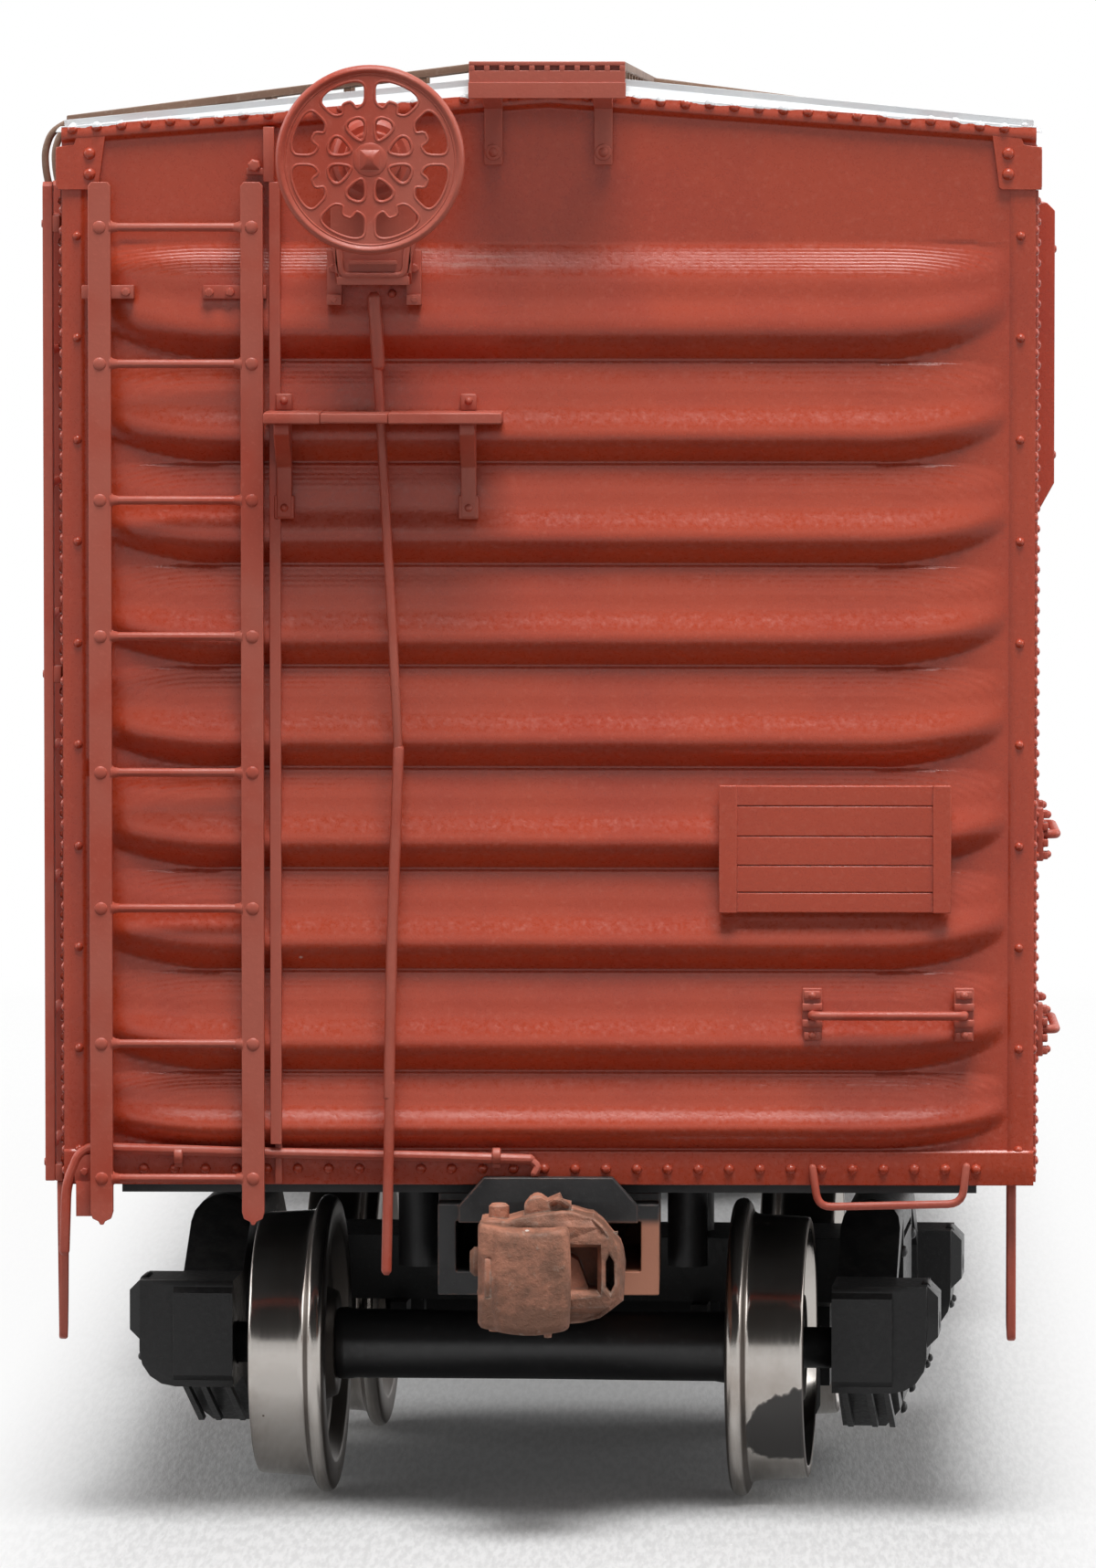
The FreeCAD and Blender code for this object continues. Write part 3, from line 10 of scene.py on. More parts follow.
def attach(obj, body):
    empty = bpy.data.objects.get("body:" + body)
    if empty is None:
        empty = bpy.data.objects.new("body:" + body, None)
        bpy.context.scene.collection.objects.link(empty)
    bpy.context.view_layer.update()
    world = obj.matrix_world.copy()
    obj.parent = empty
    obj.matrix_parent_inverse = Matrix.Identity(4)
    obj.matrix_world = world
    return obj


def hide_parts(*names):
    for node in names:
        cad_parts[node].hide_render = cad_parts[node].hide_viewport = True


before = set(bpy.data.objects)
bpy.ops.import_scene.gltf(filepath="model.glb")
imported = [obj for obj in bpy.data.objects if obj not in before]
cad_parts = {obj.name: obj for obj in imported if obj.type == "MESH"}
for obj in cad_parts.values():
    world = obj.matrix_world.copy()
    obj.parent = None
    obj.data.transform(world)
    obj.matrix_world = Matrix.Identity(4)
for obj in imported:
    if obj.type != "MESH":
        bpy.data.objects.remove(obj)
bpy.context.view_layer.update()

bl_info = {
    "name": "Railroad boxcar model",
    "version": (1, 0, 0),
    "blender": (4, 5, 0),
    "location": "View3D > Sidebar > Boxcar",
    "description": "Builds the looks of a scale model boxcar around its construction",
    "category": "Add Mesh",
}

# Lengths in this file are millimetres unless they belong to a Blender setting; MM turns them into metres.
MM = 0.001
FRONT = (0, -1, 0)
END_Y = -72.0
BODY_HALF = 17.3
BODY_BOTTOM = 12.25
EAVE = 49.95
RIDGE = 51.25
CAD_RIDGE = 51.05
EAVE_SLOPE = (RIDGE - EAVE) / BODY_HALF
ROOF_HALF = 17.5
ROOF_TOP = 51.7
ROOF_SLOPE = (ROOF_TOP - EAVE) / ROOF_HALF
ROOF_REACH = 72.2
SEAM_WIDTH = 0.9
SEAM_STEP = (2 * ROOF_REACH - SEAM_WIDTH) / 12
WALK_HALF = 2.75
WALK_TOP = 52.25
LADDER_RUNGS = (46.4, 41.56, 36.72, 31.88, 27.04, 22.2, 17.36, 12.55)
WHEEL_CENTER = Vector((-6.16, -77.2, 48.8))
TRUCK_Y = 53.65
WHEELBASE = 19.25
AXLE_Z = 5.45
FRONT_TURN = math.radians(-3.8)
RIB_EDGES = [45.9] + [41.6 - 3.62 * i for i in range(8)] + [13.5]
# Cross sections of the pressed ribs: (share of the height from the top, share of the depth).
RIB_GROOVE = [(0.71, 0.91), (0.77, 0.85), (0.83, 0.68), (0.89, 0.42), (0.95, 0.12), (1.0, -0.12)]
RIB_POINTS = [(0.0, 0.11), (0.08, 0.195), (0.18, 0.325), (0.27, 0.42), (0.37, 0.475), (0.46, 0.56),
              (0.56, 0.74), (0.65, 0.88)] + RIB_GROOVE
RIB_FIRST = [(0.0, 0.0), (0.02, 0.01), (0.07, 0.1), (0.18, 0.36), (0.28, 0.58), (0.34, 0.64), (0.41, 0.66),
             (0.48, 0.685), (0.55, 0.76), (0.6, 0.84), (0.65, 0.88)] + RIB_GROOVE
RIPPLE_START = 0.12
BLOT_PLACE = (0.0087, -0.0675, 0.0032)


# Shape helpers

def circle(center, side, up, radius, count):
    """Points around a center, in the plane of two directions."""
    angles = [math.tau * i / count for i in range(count)]
    return [center + (side * math.cos(a) + up * math.sin(a)) * radius for a in angles]


def steps(start, stop, step):
    """Evenly spaced places from start to just before stop."""
    while start < stop:
        yield start
        start += step


def rounded(path, bend):
    """Path with each corner replaced by a short smooth bend."""
    points = [Vector(p) for p in path]
    line = [points[0]]
    for before, corner, after in zip(points, points[1:], points[2:]):
        back, ahead = before - corner, after - corner
        cut = min(bend, back.length * 0.45, ahead.length * 0.45)
        start, end = corner + back.normalized() * cut, corner + ahead.normalized() * cut
        for i in range(6):
            t = i / 5
            line.append(start * (1 - t) ** 2 + corner * 2 * t * (1 - t) + end * t ** 2)
    return line + [points[-1]]


class Form:
    """Points and faces of one piece, gathered in millimetres."""

    def __init__(self):
        self.points = []
        self.faces = []

    def add(self, points, faces):
        base = len(self.points)
        self.points += [tuple(p) for p in points]
        self.faces += [tuple(base + i for i in face) for face in faces]
        return self

    def skin(self, rings, ends="filled", tip=None):
        """Skin over rings of equally many points; its ends are filled, joined to each other, or open up to a tip."""
        n, count = len(rings[0]), len(rings)
        faces = [(j * n + i, j * n + (i + 1) % n, (j + 1) % count * n + (i + 1) % n, (j + 1) % count * n + i)
                 for j in range(count if ends == "joined" else count - 1) for i in range(n)]
        last = (count - 1) * n
        if tip is not None:
            rings = rings + [[tip]]
            faces += [(last + i, last + (i + 1) % n, last + n) for i in range(n)]
        elif ends == "filled":
            faces += [tuple(range(n))[::-1], tuple(range(last, last + n))]
        return self.add([p for ring in rings for p in ring], faces)

    def prism(self, outline, push):
        """Closed outline of 3-D points pushed along a vector."""
        near = [Vector(p) for p in outline]
        return self.skin([near, [p + Vector(push) for p in near]])

    def block(self, a, b):
        """Box between two opposite corners."""
        low, high = zip(*[sorted(pair) for pair in zip(a, b)])
        corners = [(low[0], low[1]), (high[0], low[1]), (high[0], high[1]), (low[0], high[1])]
        return self.prism([(x, y, low[2]) for x, y in corners], (0, 0, high[2] - low[2]))

    def lathe(self, profile, origin, axis, turns=48, ends="filled", tip=None):
        """(along, radius) profile turned about an axis; tip is how far along a closing point lies."""
        axis = Vector(axis).normalized()
        side = axis.orthogonal().normalized()
        up = axis.cross(side)
        rings = [circle(Vector(origin) + axis * along, side, up, radius, turns) for along, radius in profile]
        return self.skin(rings, ends, None if tip is None else Vector(origin) + axis * tip)

    def tube(self, path, radius, sides=10, bend=0.5):
        """Round bar along a path with rounded bends and rounded ends."""
        line = rounded(path, bend)
        last = len(line) - 1
        side = (line[1] - line[0]).normalized().orthogonal().normalized()
        rings = []
        for i, shift, share in ([(0, -0.9, 0.45), (0, -0.35, 0.9)] + [(i, 0, 1) for i in range(last + 1)]
                                + [(last, 0.35, 0.9), (last, 0.9, 0.45)]):
            forward = (line[min(i + 1, last)] - line[max(i - 1, 0)]).normalized()
            side = (side - forward * side.dot(forward)).normalized()
            rings.append(circle(line[i] + forward * shift * radius, side, forward.cross(side), radius * share, sides))
        return self.skin(rings)

    def hoop(self, path, radius, sides=6):
        """Round bar along a closed path that lies flat in the XZ plane."""
        line = [Vector(p) for p in path]
        axis = Vector((0, 1, 0))
        rings = []
        for i, point in enumerate(line):
            forward = (line[(i + 1) % len(line)] - line[i - 1]).normalized()
            rings.append(circle(point, forward.cross(axis).normalized(), axis, radius, sides))
        return self.skin(rings, "joined")

    def dome(self, center, normal, radius, height, sides=8):
        """Low rivet head standing on a face."""
        levels = ((-0.2, 1.0), (0.15, 1.0), (0.65, 0.78), (0.93, 0.4))
        return self.lathe([(height * level, radius * share) for level, share in levels], center, normal, sides,
                          tip=height)

    def bolt(self, center, normal, radius, height):
        """Six-sided bolt head."""
        return self.lathe([(-height * 0.3, radius), (height * 0.8, radius), (height, radius * 0.75)],
                          center, normal, 6)

    def changed(self, change):
        """Copy with every point passed through a function."""
        return Form().add([change(Vector(p)) for p in self.points], self.faces)

    def joined(self, other):
        return self.add(other.points, other.faces)


def half_turn(p):
    """The same point at the other end of the car."""
    return Vector((-p.x, -p.y, p.z))


def mirror_x(p):
    return Vector((-p.x, p.y, p.z))


def both_ends(form):
    """The form and its twin at the other end."""
    return Form().joined(form).joined(form.changed(half_turn))


def flat_curve(name, outlines, thickness, edge):
    """Flat plate with holes and rounded edges: the first outline is its rim. Points are (x, z), its middle on y = 0."""
    curve = bpy.data.curves.new(name, "CURVE")
    curve.dimensions = "2D"
    curve.fill_mode = "BOTH"
    curve.extrude = thickness / 2 - edge
    curve.bevel_depth = edge
    curve.bevel_resolution = 2
    curve.offset = -edge
    for outline in outlines:
        spline = curve.splines.new("POLY")
        spline.points.add(len(outline) - 1)
        for point, (x, z) in zip(spline.points, outline):
            point.co = (x, z, 0, 1)
        spline.use_cyclic_u = True
    holder = bpy.data.objects.new(name, curve)
    mesh = bpy.data.meshes.new_from_object(holder)
    form = Form()
    form.add([(v.co.x, -v.co.z, v.co.y) for v in mesh.vertices], [tuple(p.vertices) for p in mesh.polygons])
    bpy.data.objects.remove(holder)
    bpy.data.curves.remove(curve)
    bpy.data.meshes.remove(mesh)
    return form


def round_edges(thing, edge, segments=2, angle=30):
    if edge:
        bevel = thing.modifiers.new("edges", "BEVEL")
        bevel.width = edge * MM
        bevel.segments = segments
        bevel.limit_method = "ANGLE"
        bevel.angle_limit = math.radians(angle)
        bevel.miter_outer = "MITER_ARC"
        bevel.use_clamp_overlap = True
    normals = thing.modifiers.new("normals", "WEIGHTED_NORMAL")
    normals.keep_sharp = True
    normals.weight = 60


def set_material(thing, material):
    thing.data.materials.clear()
    thing.data.materials.append(bpy.data.materials[material])


def make(name, form, material, body="car", nodes=(), edge=0.05, segments=2, angle=30):
    """Piece from a form, with rounded edges and smooth shading; it rides a body and replaces nodes."""
    mesh = bpy.data.meshes.new(name)
    mesh.from_pydata([Vector(p) * MM for p in form.points], [], form.faces)
    work = bmesh.new()
    work.from_mesh(mesh)
    bmesh.ops.recalc_face_normals(work, faces=work.faces)
    work.to_mesh(mesh)
    work.free()
    thing = bpy.data.objects.new(name, mesh)
    bpy.context.scene.collection.objects.link(thing)
    mesh.shade_smooth()
    round_edges(thing, edge, segments, angle)
    set_material(thing, material)
    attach(thing, body)
    if nodes:
        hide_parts(*nodes)
    return thing


def soften(node, material, edge, joined=True):
    """Keeps a node of the construction, with rounded edges and a finish; joined merges the triangles of flat faces."""
    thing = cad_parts[node]
    set_material(thing, material)
    thing.data.shade_smooth()
    weld = thing.modifiers.new("weld", "WELD")
    weld.merge_threshold = 0.002 * MM
    if joined:
        flat = thing.modifiers.new("flat", "DECIMATE")
        flat.decimate_type = "DISSOLVE"
        flat.angle_limit = math.radians(1.5)
    round_edges(thing, edge)
    return thing


# Shader helpers

class Net:
    """Short calls that build a shader's node tree."""

    def __init__(self, tree):
        self.tree = tree

    def link(self, node, inputs):
        """Puts values or links on a node's inputs."""
        for key, value in dict(inputs).items():
            if isinstance(value, bpy.types.NodeSocket):
                self.tree.links.new(value, node.inputs[key])
            else:
                node.inputs[key].default_value = value
        return node

    def node(self, kind, inputs=(), **settings):
        made = self.tree.nodes.new("ShaderNode" + kind)
        for key, value in settings.items():
            setattr(made, key, value)
        return self.link(made, inputs)

    def use(self, name, **inputs):
        return self.node("Group", inputs, node_tree=bpy.data.node_groups[name]).outputs

    def calc(self, operation, a, b=0.0):
        return self.node("Math", {0: a, 1: b}, operation=operation).outputs[0]

    def times(self, first, *others):
        for other in others:
            first = self.calc("MULTIPLY", first, other)
        return first

    def add(self, a, b):
        return self.calc("ADD", a, b)

    def far(self, value):
        """Distance from zero."""
        return self.calc("ABSOLUTE", value)

    def vector(self, operation, a, b=(0, 0, 0), output=0):
        return self.node("VectorMath", {0: a, 1: b}, operation=operation).outputs[output]

    def spread(self, value, low, high, to_low=0.0, to_high=1.0):
        """Smooth step of a value from low to high."""
        inputs = {"Value": value, "From Min": low, "From Max": high, "To Min": to_low, "To Max": to_high}
        return self.node("MapRange", inputs, interpolation_type="SMOOTHSTEP").outputs["Result"]

    def blend(self, factor, a, b):
        """Mix of two colours; 0, 6, 7 and 2 are the mix node's factor, colour inputs and colour output."""
        return self.node("Mix", {0: factor, 6: a, 7: b}, data_type="RGBA").outputs[2]

    def point(self):
        return self.node("TexCoord").outputs["Object"]

    def parts(self, vector=None):
        return self.node("SeparateXYZ", {0: vector or self.point()}).outputs

    def normal(self):
        return self.node("NewGeometry").outputs["Normal"]

    def noise(self, scale, detail=3.0, rough=0.55, vector=None):
        inputs = {"Vector": vector or self.point(), "Scale": scale, "Detail": detail, "Roughness": rough}
        return self.node("TexNoise", inputs).outputs[0]

    def bump(self, height, distance, strength=1.0, normal=None):
        inputs = {"Height": height, "Distance": distance * MM, "Strength": strength}
        return self.node("Bump", inputs | ({"Normal": normal} if normal else {})).outputs[0]

    def seen(self):
        """One for camera, glossy and transmission rays."""
        ray = self.node("LightPath").outputs
        return self.calc("MAXIMUM", self.calc("MAXIMUM", ray["Is Camera Ray"], ray["Is Glossy Ray"]),
                         ray["Is Transmission Ray"])

    def feed(self, **sockets):
        """Values or links on the Principled shader; an underscore stands for a space."""
        self.link(self.shader, {key.replace("_", " "): value for key, value in sockets.items()})


def group(name, inputs, outputs):
    """Empty node group; inputs and outputs name its float sockets, and its colour sockets with a star."""
    tree = bpy.data.node_groups.new(name, "ShaderNodeTree")
    for words, side in ((inputs, "INPUT"), (outputs, "OUTPUT")):
        for word in words.split():
            kind = "NodeSocketColor" if word.startswith("*") else "NodeSocketFloat"
            tree.interface.new_socket(word.strip("*"), in_out=side, socket_type=kind)
    source = tree.nodes.new("NodeGroupInput")
    sink = tree.nodes.new("NodeGroupOutput")
    net = Net(tree)
    return net, source.outputs, lambda **values: net.link(sink, values)


def new_material(name):
    material = bpy.data.materials.new(name)
    material.use_nodes = True
    net = Net(material.node_tree)
    net.tree.nodes.clear()
    net.sink = net.node("OutputMaterial")
    net.shader = net.node("BsdfPrincipled")
    net.link(net.sink, {0: net.shader.outputs[0]})
    return net


def build_groups():
    """Shared effects: paint film, specks, settled dust, rubbed edges, cast rust, turned metal, overspray, and pale
    streaks painted as sheen.
    """
    net, given, give = group("paint_film", "*Color *Shade *Pale Patches Grain", "*Color Rough Height")
    wide = net.noise(given["Patches"], 4.0, 0.6)
    fine = net.noise(given["Grain"], 2.0, 0.7)
    shaded = net.blend(net.spread(wide, 0.4, 0.72), given["Color"], given["Shade"])
    grained = net.blend(net.spread(fine, 0.52, 0.78, 0.0, 0.4), shaded, given["Pale"])
    give(Color=grained, Rough=net.spread(fine, 0.3, 0.7, -0.05, 0.07), Height=fine)

    net, given, give = group("specks", "Size Share", "Mask")
    cells = net.node("TexVoronoi", {"Vector": net.point(), "Scale": given["Size"]}).outputs
    pick = net.node("SeparateColor", {"Color": cells["Color"]}).outputs[0]
    give(Mask=net.times(net.calc("LESS_THAN", pick, given["Share"]),
                        net.spread(cells["Distance"], 0.08, 0.14, 1.0, 0.0)))

    net, given, give = group("settled_dust", "Amount Size", "Mask")
    up = net.parts(net.normal())[2]
    cloud = net.noise(given["Size"], 5.0, 0.7)
    give(Mask=net.times(net.spread(up, 0.1, 0.95), net.spread(cloud, 0.35, 0.7), given["Amount"]))

    net, given, give = group("rubbed_edges", "Radius Ragged", "Mask")
    soft = net.node("Bevel", {"Radius": given["Radius"]}, samples=4).outputs[0]
    match = net.vector("DOT_PRODUCT", soft, net.normal(), "Value")
    edge = net.spread(net.calc("SUBTRACT", 1.0, match), 0.01, 0.1)
    give(Mask=net.times(edge, net.spread(net.noise(given["Ragged"], 4.0, 0.7), 0.38, 0.62)))

    net, given, give = group("cast_surface", "*Rust *Dark *Pale Size", "*Color Rough Height")
    broad = net.noise(given["Size"], 5.0, 0.65)
    small = net.noise(net.times(given["Size"], 4.3), 4.0, 0.7)
    base = net.blend(net.spread(broad, 0.36, 0.6), given["Rust"], given["Dark"])
    flecked = net.blend(net.spread(small, 0.58, 0.76, 0.0, 0.5), base, given["Pale"])
    give(Color=flecked, Rough=net.spread(small, 0.3, 0.7, 0.5, 0.85), Height=small)

    net, given, give = group("turned_lines", "Lines Along", "Rough Height")
    stretch = net.node("CombineXYZ", {0: given["Lines"], 1: given["Along"], 2: given["Along"]}).outputs[0]
    lines = net.noise(1.0, 3.0, 0.6, net.vector("MULTIPLY", net.point(), stretch))
    give(Rough=net.spread(lines, 0.3, 0.7, -0.06, 0.08), Height=lines)

    net, given, give = group("overspray", "Reach Ragged", "Mask")
    parts = net.parts()
    slope = net.times(net.far(parts[0]), EAVE_SLOPE)
    depth = net.calc("SUBTRACT", RIDGE * MM, net.add(parts[2], slope))
    wander = net.noise(given["Ragged"], 3.0, 0.65)
    broad = net.noise(230.0, 2.0, 0.5, net.node("CombineXYZ", {0: parts[0]}).outputs[0])
    ragged = net.times(net.spread(wander, 0.3, 0.6, 0.4, 1.0), net.spread(broad, 0.47, 0.53))
    give(Mask=net.calc("LESS_THAN", depth, net.times(given["Reach"], ragged)))

    # Pale horizontal streaks painted as sheen, between two heights and two x places at the front of the brake end.
    net, given, give = group("painted_sheen_streaks", "Left Right Low High", "Mask")
    parts = net.parts()
    streaks = net.noise(1.0, 3.0, 0.6, net.vector("MULTIPLY", net.point(), (260.0, 400.0, 5200.0)))
    middle = net.times(net.add(given["Left"], given["Right"]), 0.5)
    half = net.times(net.calc("SUBTRACT", given["Right"], given["Left"]), 0.5)
    across = net.calc("DIVIDE", net.far(net.calc("SUBTRACT", parts[0], middle)), half)
    give(Mask=net.times(net.spread(across, 0.3, 1.0, 1.0, 0.0), net.spread(streaks, 0.5, 0.72),
                        net.calc("GREATER_THAN", parts[2], given["Low"]),
                        net.calc("LESS_THAN", parts[2], given["High"]),
                        net.calc("LESS_THAN", parts[1], -0.0716)))


# Materials

def effect(name, **inputs):
    """Mask of a shared effect, for a layer."""
    return lambda net: net.use(name, **inputs)["Mask"]


def layered(net, colour, layers):
    """Colour with layers on top; a layer is its mask's function, its strength and its colour."""
    for mask, strength, tint in layers:
        mask = mask(net)
        colour = net.blend(net.times(mask, strength) if strength < 1 else mask, colour, tint)
    return colour


def ripples(net, normal):
    """Moulding lines that follow the pressed ribs."""
    relief, share = [net.node("Attribute", attribute_name=key).outputs["Fac"] for key in ("relief", "ripple")]
    phase = net.add(net.times(relief, 120.0), net.times(net.noise(700.0, 2.0), 2.2))
    return net.bump(net.times(net.calc("SINE", phase), share), 0.0045, 0.5, normal)


def coat(name, base, shade, pale, patches, grain, rough, relief, layers=(), lines=None, **more):
    """Material of a paint film with layers on top; relief is its bump's distance and strength."""
    net = new_material(name)
    film = net.use("paint_film", Color=base, Shade=shade, Pale=pale, Patches=patches, Grain=grain)
    normal = net.bump(film["Height"], *relief)
    net.feed(Base_Color=layered(net, film["Color"], layers), Roughness=net.add(film["Rough"], rough),
             Normal=lines(net, normal) if lines else normal, **more)


def coupler_rust(net):
    """Mask of the rusty right half of each coupler box's front."""
    parts = net.parts()
    across = net.times(parts[0], net.calc("SIGN", parts[1]))
    return net.times(net.spread(across, -0.0022, -0.0008, 1.0, 0.0),
                     net.spread(net.noise(620.0, 5.0, 0.7), 0.3, 0.5, 0.25, 1.0),
                     net.spread(parts[2], 0.0107, 0.0111, 1.0, 0.0))


def grey(level, blue=0.0):
    return (level, level, level + blue, 1)


def build_materials(colours):
    def paint(name, base, shade, pale, rough, specular, extra=(), lines=None):
        """Sprayed plastic: mottled colour, fine grain, a few pale specks, settled dust and rubbed edges."""
        layers = [(effect("specks", Size=1700.0, Share=0.004), 0.7, colours.dust),
                  (effect("settled_dust", Amount=0.1, Size=900.0), 1, colours.dust),
                  (effect("rubbed_edges", Radius=0.1 * MM, Ragged=1500.0), 0.5, pale)]
        coat(name, base, shade, pale, 170.0, 5200.0, rough, (0.02, 0.35), layers + list(extra), lines,
             Specular_IOR_Level=specular)

    paint("body_paint", colours.paint, colours.paint_shade, colours.paint_pale, 0.3, 0.5,
          # Painted sheen: pale streaks on the upper flank of the end's first rib, under the hand brake.
          [(effect("painted_sheen_streaks", Left=-10.5 * MM, Right=0.5 * MM, Low=44.6 * MM, High=45.68 * MM), 0.35,
            (0.62, 0.42, 0.36, 1)),
           (effect("overspray", Reach=0.1 * MM, Ragged=1300.0), 1, colours.roof)], ripples)
    paint("fitting_paint", colours.fitting, colours.paint_shade, colours.paint_pale, 0.44, 0.45)
    paint("walk_paint", colours.walk, colours.walk_shade, colours.walk_pale, 0.55, 0.4)
    coat("roof_paint", colours.roof, (0.62, 0.64, 0.66, 1), (0.78, 0.78, 0.77, 1), 120.0, 3000.0, 0.4, (0.015, 0.3),
         [(lambda net: net.spread(net.noise(90.0, 5.0, 0.6), 0.55, 0.8, 0.0, 0.35), 1, (0.55, 0.55, 0.53, 1)),
          (effect("specks", Size=420.0, Share=0.02), 1, colours.paint)])

    for name, base, rough, rusty, worn in (("frame_plastic", colours.plastic, 0.42, (), (0.09, 0.088, 0.085, 1)),
                                           ("under_plastic", colours.box, 0.5, (), (0.09, 0.088, 0.085, 1)),
                                           ("box_plastic", colours.box, 0.5, [(coupler_rust, 1, colours.rust)],
                                            colours.rust)):
        layers = [(effect("specks", Size=1500.0, Share=0.01), 1, (0.45, 0.43, 0.4, 1)),
                  (effect("settled_dust", Amount=0.08, Size=1400.0), 1, (0.3, 0.28, 0.26, 1)), *rusty,
                  (effect("rubbed_edges", Radius=0.08 * MM, Ragged=1900.0), 0.45, worn)]
        coat(name, base, grey(0.006, 0.001), grey(0.05, 0.002), 260.0, 5200.0, rough, (0.015, 0.4), layers,
             Specular_IOR_Level=0.4)
    coat("axle_plastic", grey(0.018, 0.001), grey(0.011, 0.001), grey(0.04), 240.0, 3600.0, 0.33, (0.01, 0.3),
         [(effect("specks", Size=1100.0, Share=0.015), 1, (0.4, 0.38, 0.36, 1))])
    coat("ballast_steel", (0.22, 0.21, 0.2, 1), (0.12, 0.1, 0.09, 1), (0.35, 0.34, 0.33, 1), 80.0, 1500.0, 0.45,
         (0.02, 0.4), Metallic=0.8)
    coat("floor_plastic", grey(0.12, 0.005), grey(0.07, 0.005), grey(0.2), 100.0, 2500.0, 0.5, (0.02, 0.4))

    net = new_material("cast_rust")
    cast = net.use("cast_surface", Rust=colours.rust, Dark=colours.rust_dark, Pale=colours.rust_pale, Size=480.0)
    layers = [(effect("rubbed_edges", Radius=0.14 * MM, Ragged=1700.0), 0.6, (0.38, 0.32, 0.27, 1)),
              (effect("specks", Size=1500.0, Share=0.03), 1, (0.6, 0.57, 0.52, 1))]
    net.feed(Base_Color=layered(net, cast["Color"], layers), Roughness=cast["Rough"], Specular_IOR_Level=0.4,
             Normal=net.bump(cast["Height"], 0.1, 0.9))

    net = new_material("nickel")
    lines = net.use("turned_lines", Lines=14000.0, Along=60.0)
    stain = net.spread(net.noise(300.0, 5.0, 0.65), 0.42, 0.75, 0.0, 0.45)
    away = net.vector("DISTANCE", net.point(), BLOT_PLACE, "Value")
    ragged = net.times(net.noise(500.0, 4.0, 0.6), 0.0016)
    blot = net.spread(net.add(away, ragged), 0.0024, 0.00255, 1.0, 0.0)
    flank = net.spread(net.far(net.parts(net.normal())[0]), 0.6, 0.85)
    layers = [(lambda _: stain, 1, colours.nickel_stain), (lambda _: blot, 1, (0.05, 0.045, 0.042, 1)),
              (lambda _: flank, 0.85, (0.085, 0.066, 0.055, 1)),
              (effect("specks", Size=2200.0, Share=0.03), 1, (0.12, 0.09, 0.07, 1))]
    net.feed(Base_Color=layered(net, colours.nickel, layers), Metallic=net.calc("SUBTRACT", 1.0, blot),
             Roughness=net.add(net.times(lines["Rough"], 0.4), net.spread(flank, 0.0, 1.0, 0.17, 0.4)),
             Normal=net.bump(lines["Height"], 0.0004, 0.1))


# Ends

def end_top(x):
    return RIDGE - EAVE_SLOPE * abs(x)


def taper(x, sizes):
    """(size share, depth share) of the ribs at x; both are one along the middle and fall to zero at the tips."""
    start = BODY_HALF - 0.95 - sizes.rib_taper / MM
    u = min(1.0, (abs(x) - start) / (sizes.rib_taper / MM))
    if u <= 0:
        return 1.0, 1.0
    return (1 - u ** 1.7) ** 0.62, 1 - u ** 2.4


def rib_section(v, first):
    """Share of the rib's depth at v, on a smooth line through its points."""
    points = RIB_FIRST if first else RIB_POINTS
    for i, (high, low) in enumerate(zip(points, points[1:])):
        if v <= low[0]:
            before, after = points[max(0, i - 1)], points[min(len(points) - 1, i + 2)]
            width = low[0] - high[0]
            t = (v - high[0]) / width
            rise = (low[1] - before[1]) / (low[0] - before[0]) * width
            fall = (after[1] - high[1]) / (after[0] - high[0]) * width
            return (high[1] * (1 + 2 * t) * (1 - t) ** 2 + rise * t * (1 - t) ** 2
                    + low[1] * t ** 2 * (3 - 2 * t) + fall * t ** 2 * (t - 1))
    return points[-1][1]


def rib_relief(x, z, sizes):
    """(depth, ripple share): how far the sheet stands out at a point of the end, and how strong its ripples are."""
    share, deep = taper(x, sizes)
    for number, (high, low) in enumerate(zip(RIB_EDGES, RIB_EDGES[1:])):
        if low < z <= high:
            drawn_in = (high - low) * (1 - share)
            top, bottom = high - 0.04 * drawn_in, low + 0.42 * drawn_in
            if share < 0.03 or z > top or z <= bottom:
                return 0.0, 0.0
            v = (top - z) / (top - bottom)
            depth = rib_section(v, number == 0) - RIB_POINTS[0][1] * (1 - deep ** 2) * (1 - v)
            ends = min(1.0, max(0.0, (abs(x) - 4.0) / 8.0))
            return (depth * deep * sizes.rib_relief / MM,
                    (0.1 + 0.9 * ends) * min(1.0, max(0.0, (0.5 - v) * 4)))
    return 0.0, 0.0


def end_columns():
    """X places of the end's grid: close together where the ribs taper."""
    right = [10.0 * i / 12 for i in range(13)] + [10.0 + (16.35 - 10.0) * i / 54 for i in range(1, 55)]
    right += [16.38, 16.42, 16.7, 17.0, 17.22, 17.28, 17.3]
    return [-x for x in right[:0:-1]] + right


def end_rows():
    """Rows of the end's grid from the bottom up: (kind, value), where a value is a height, a share or a drop."""
    heights = [BODY_BOTTOM, BODY_BOTTOM + 0.04, 12.6, 13.0, 13.4, 13.45, 13.49]
    for low, high in zip(RIB_EDGES[::-1], RIB_EDGES[-2::-1]):
        for i in range(26):
            t = i / 26
            eased = (1 - math.cos(math.pi * t)) / 2
            heights.append(low + (high - low) * (t * 0.4 + eased * 0.6))
    return ([("height", z) for z in heights] + [("share", share) for share in (0.0, 0.03, 0.1, 0.3, 0.5, 0.7, 0.9, 1.0)]
            + [("drop", drop) for drop in (0.66, 0.62, 0.57, 0.52, 0.47, 0.42, 0.3, 0.15, 0.06, 0.02, 0.0)])


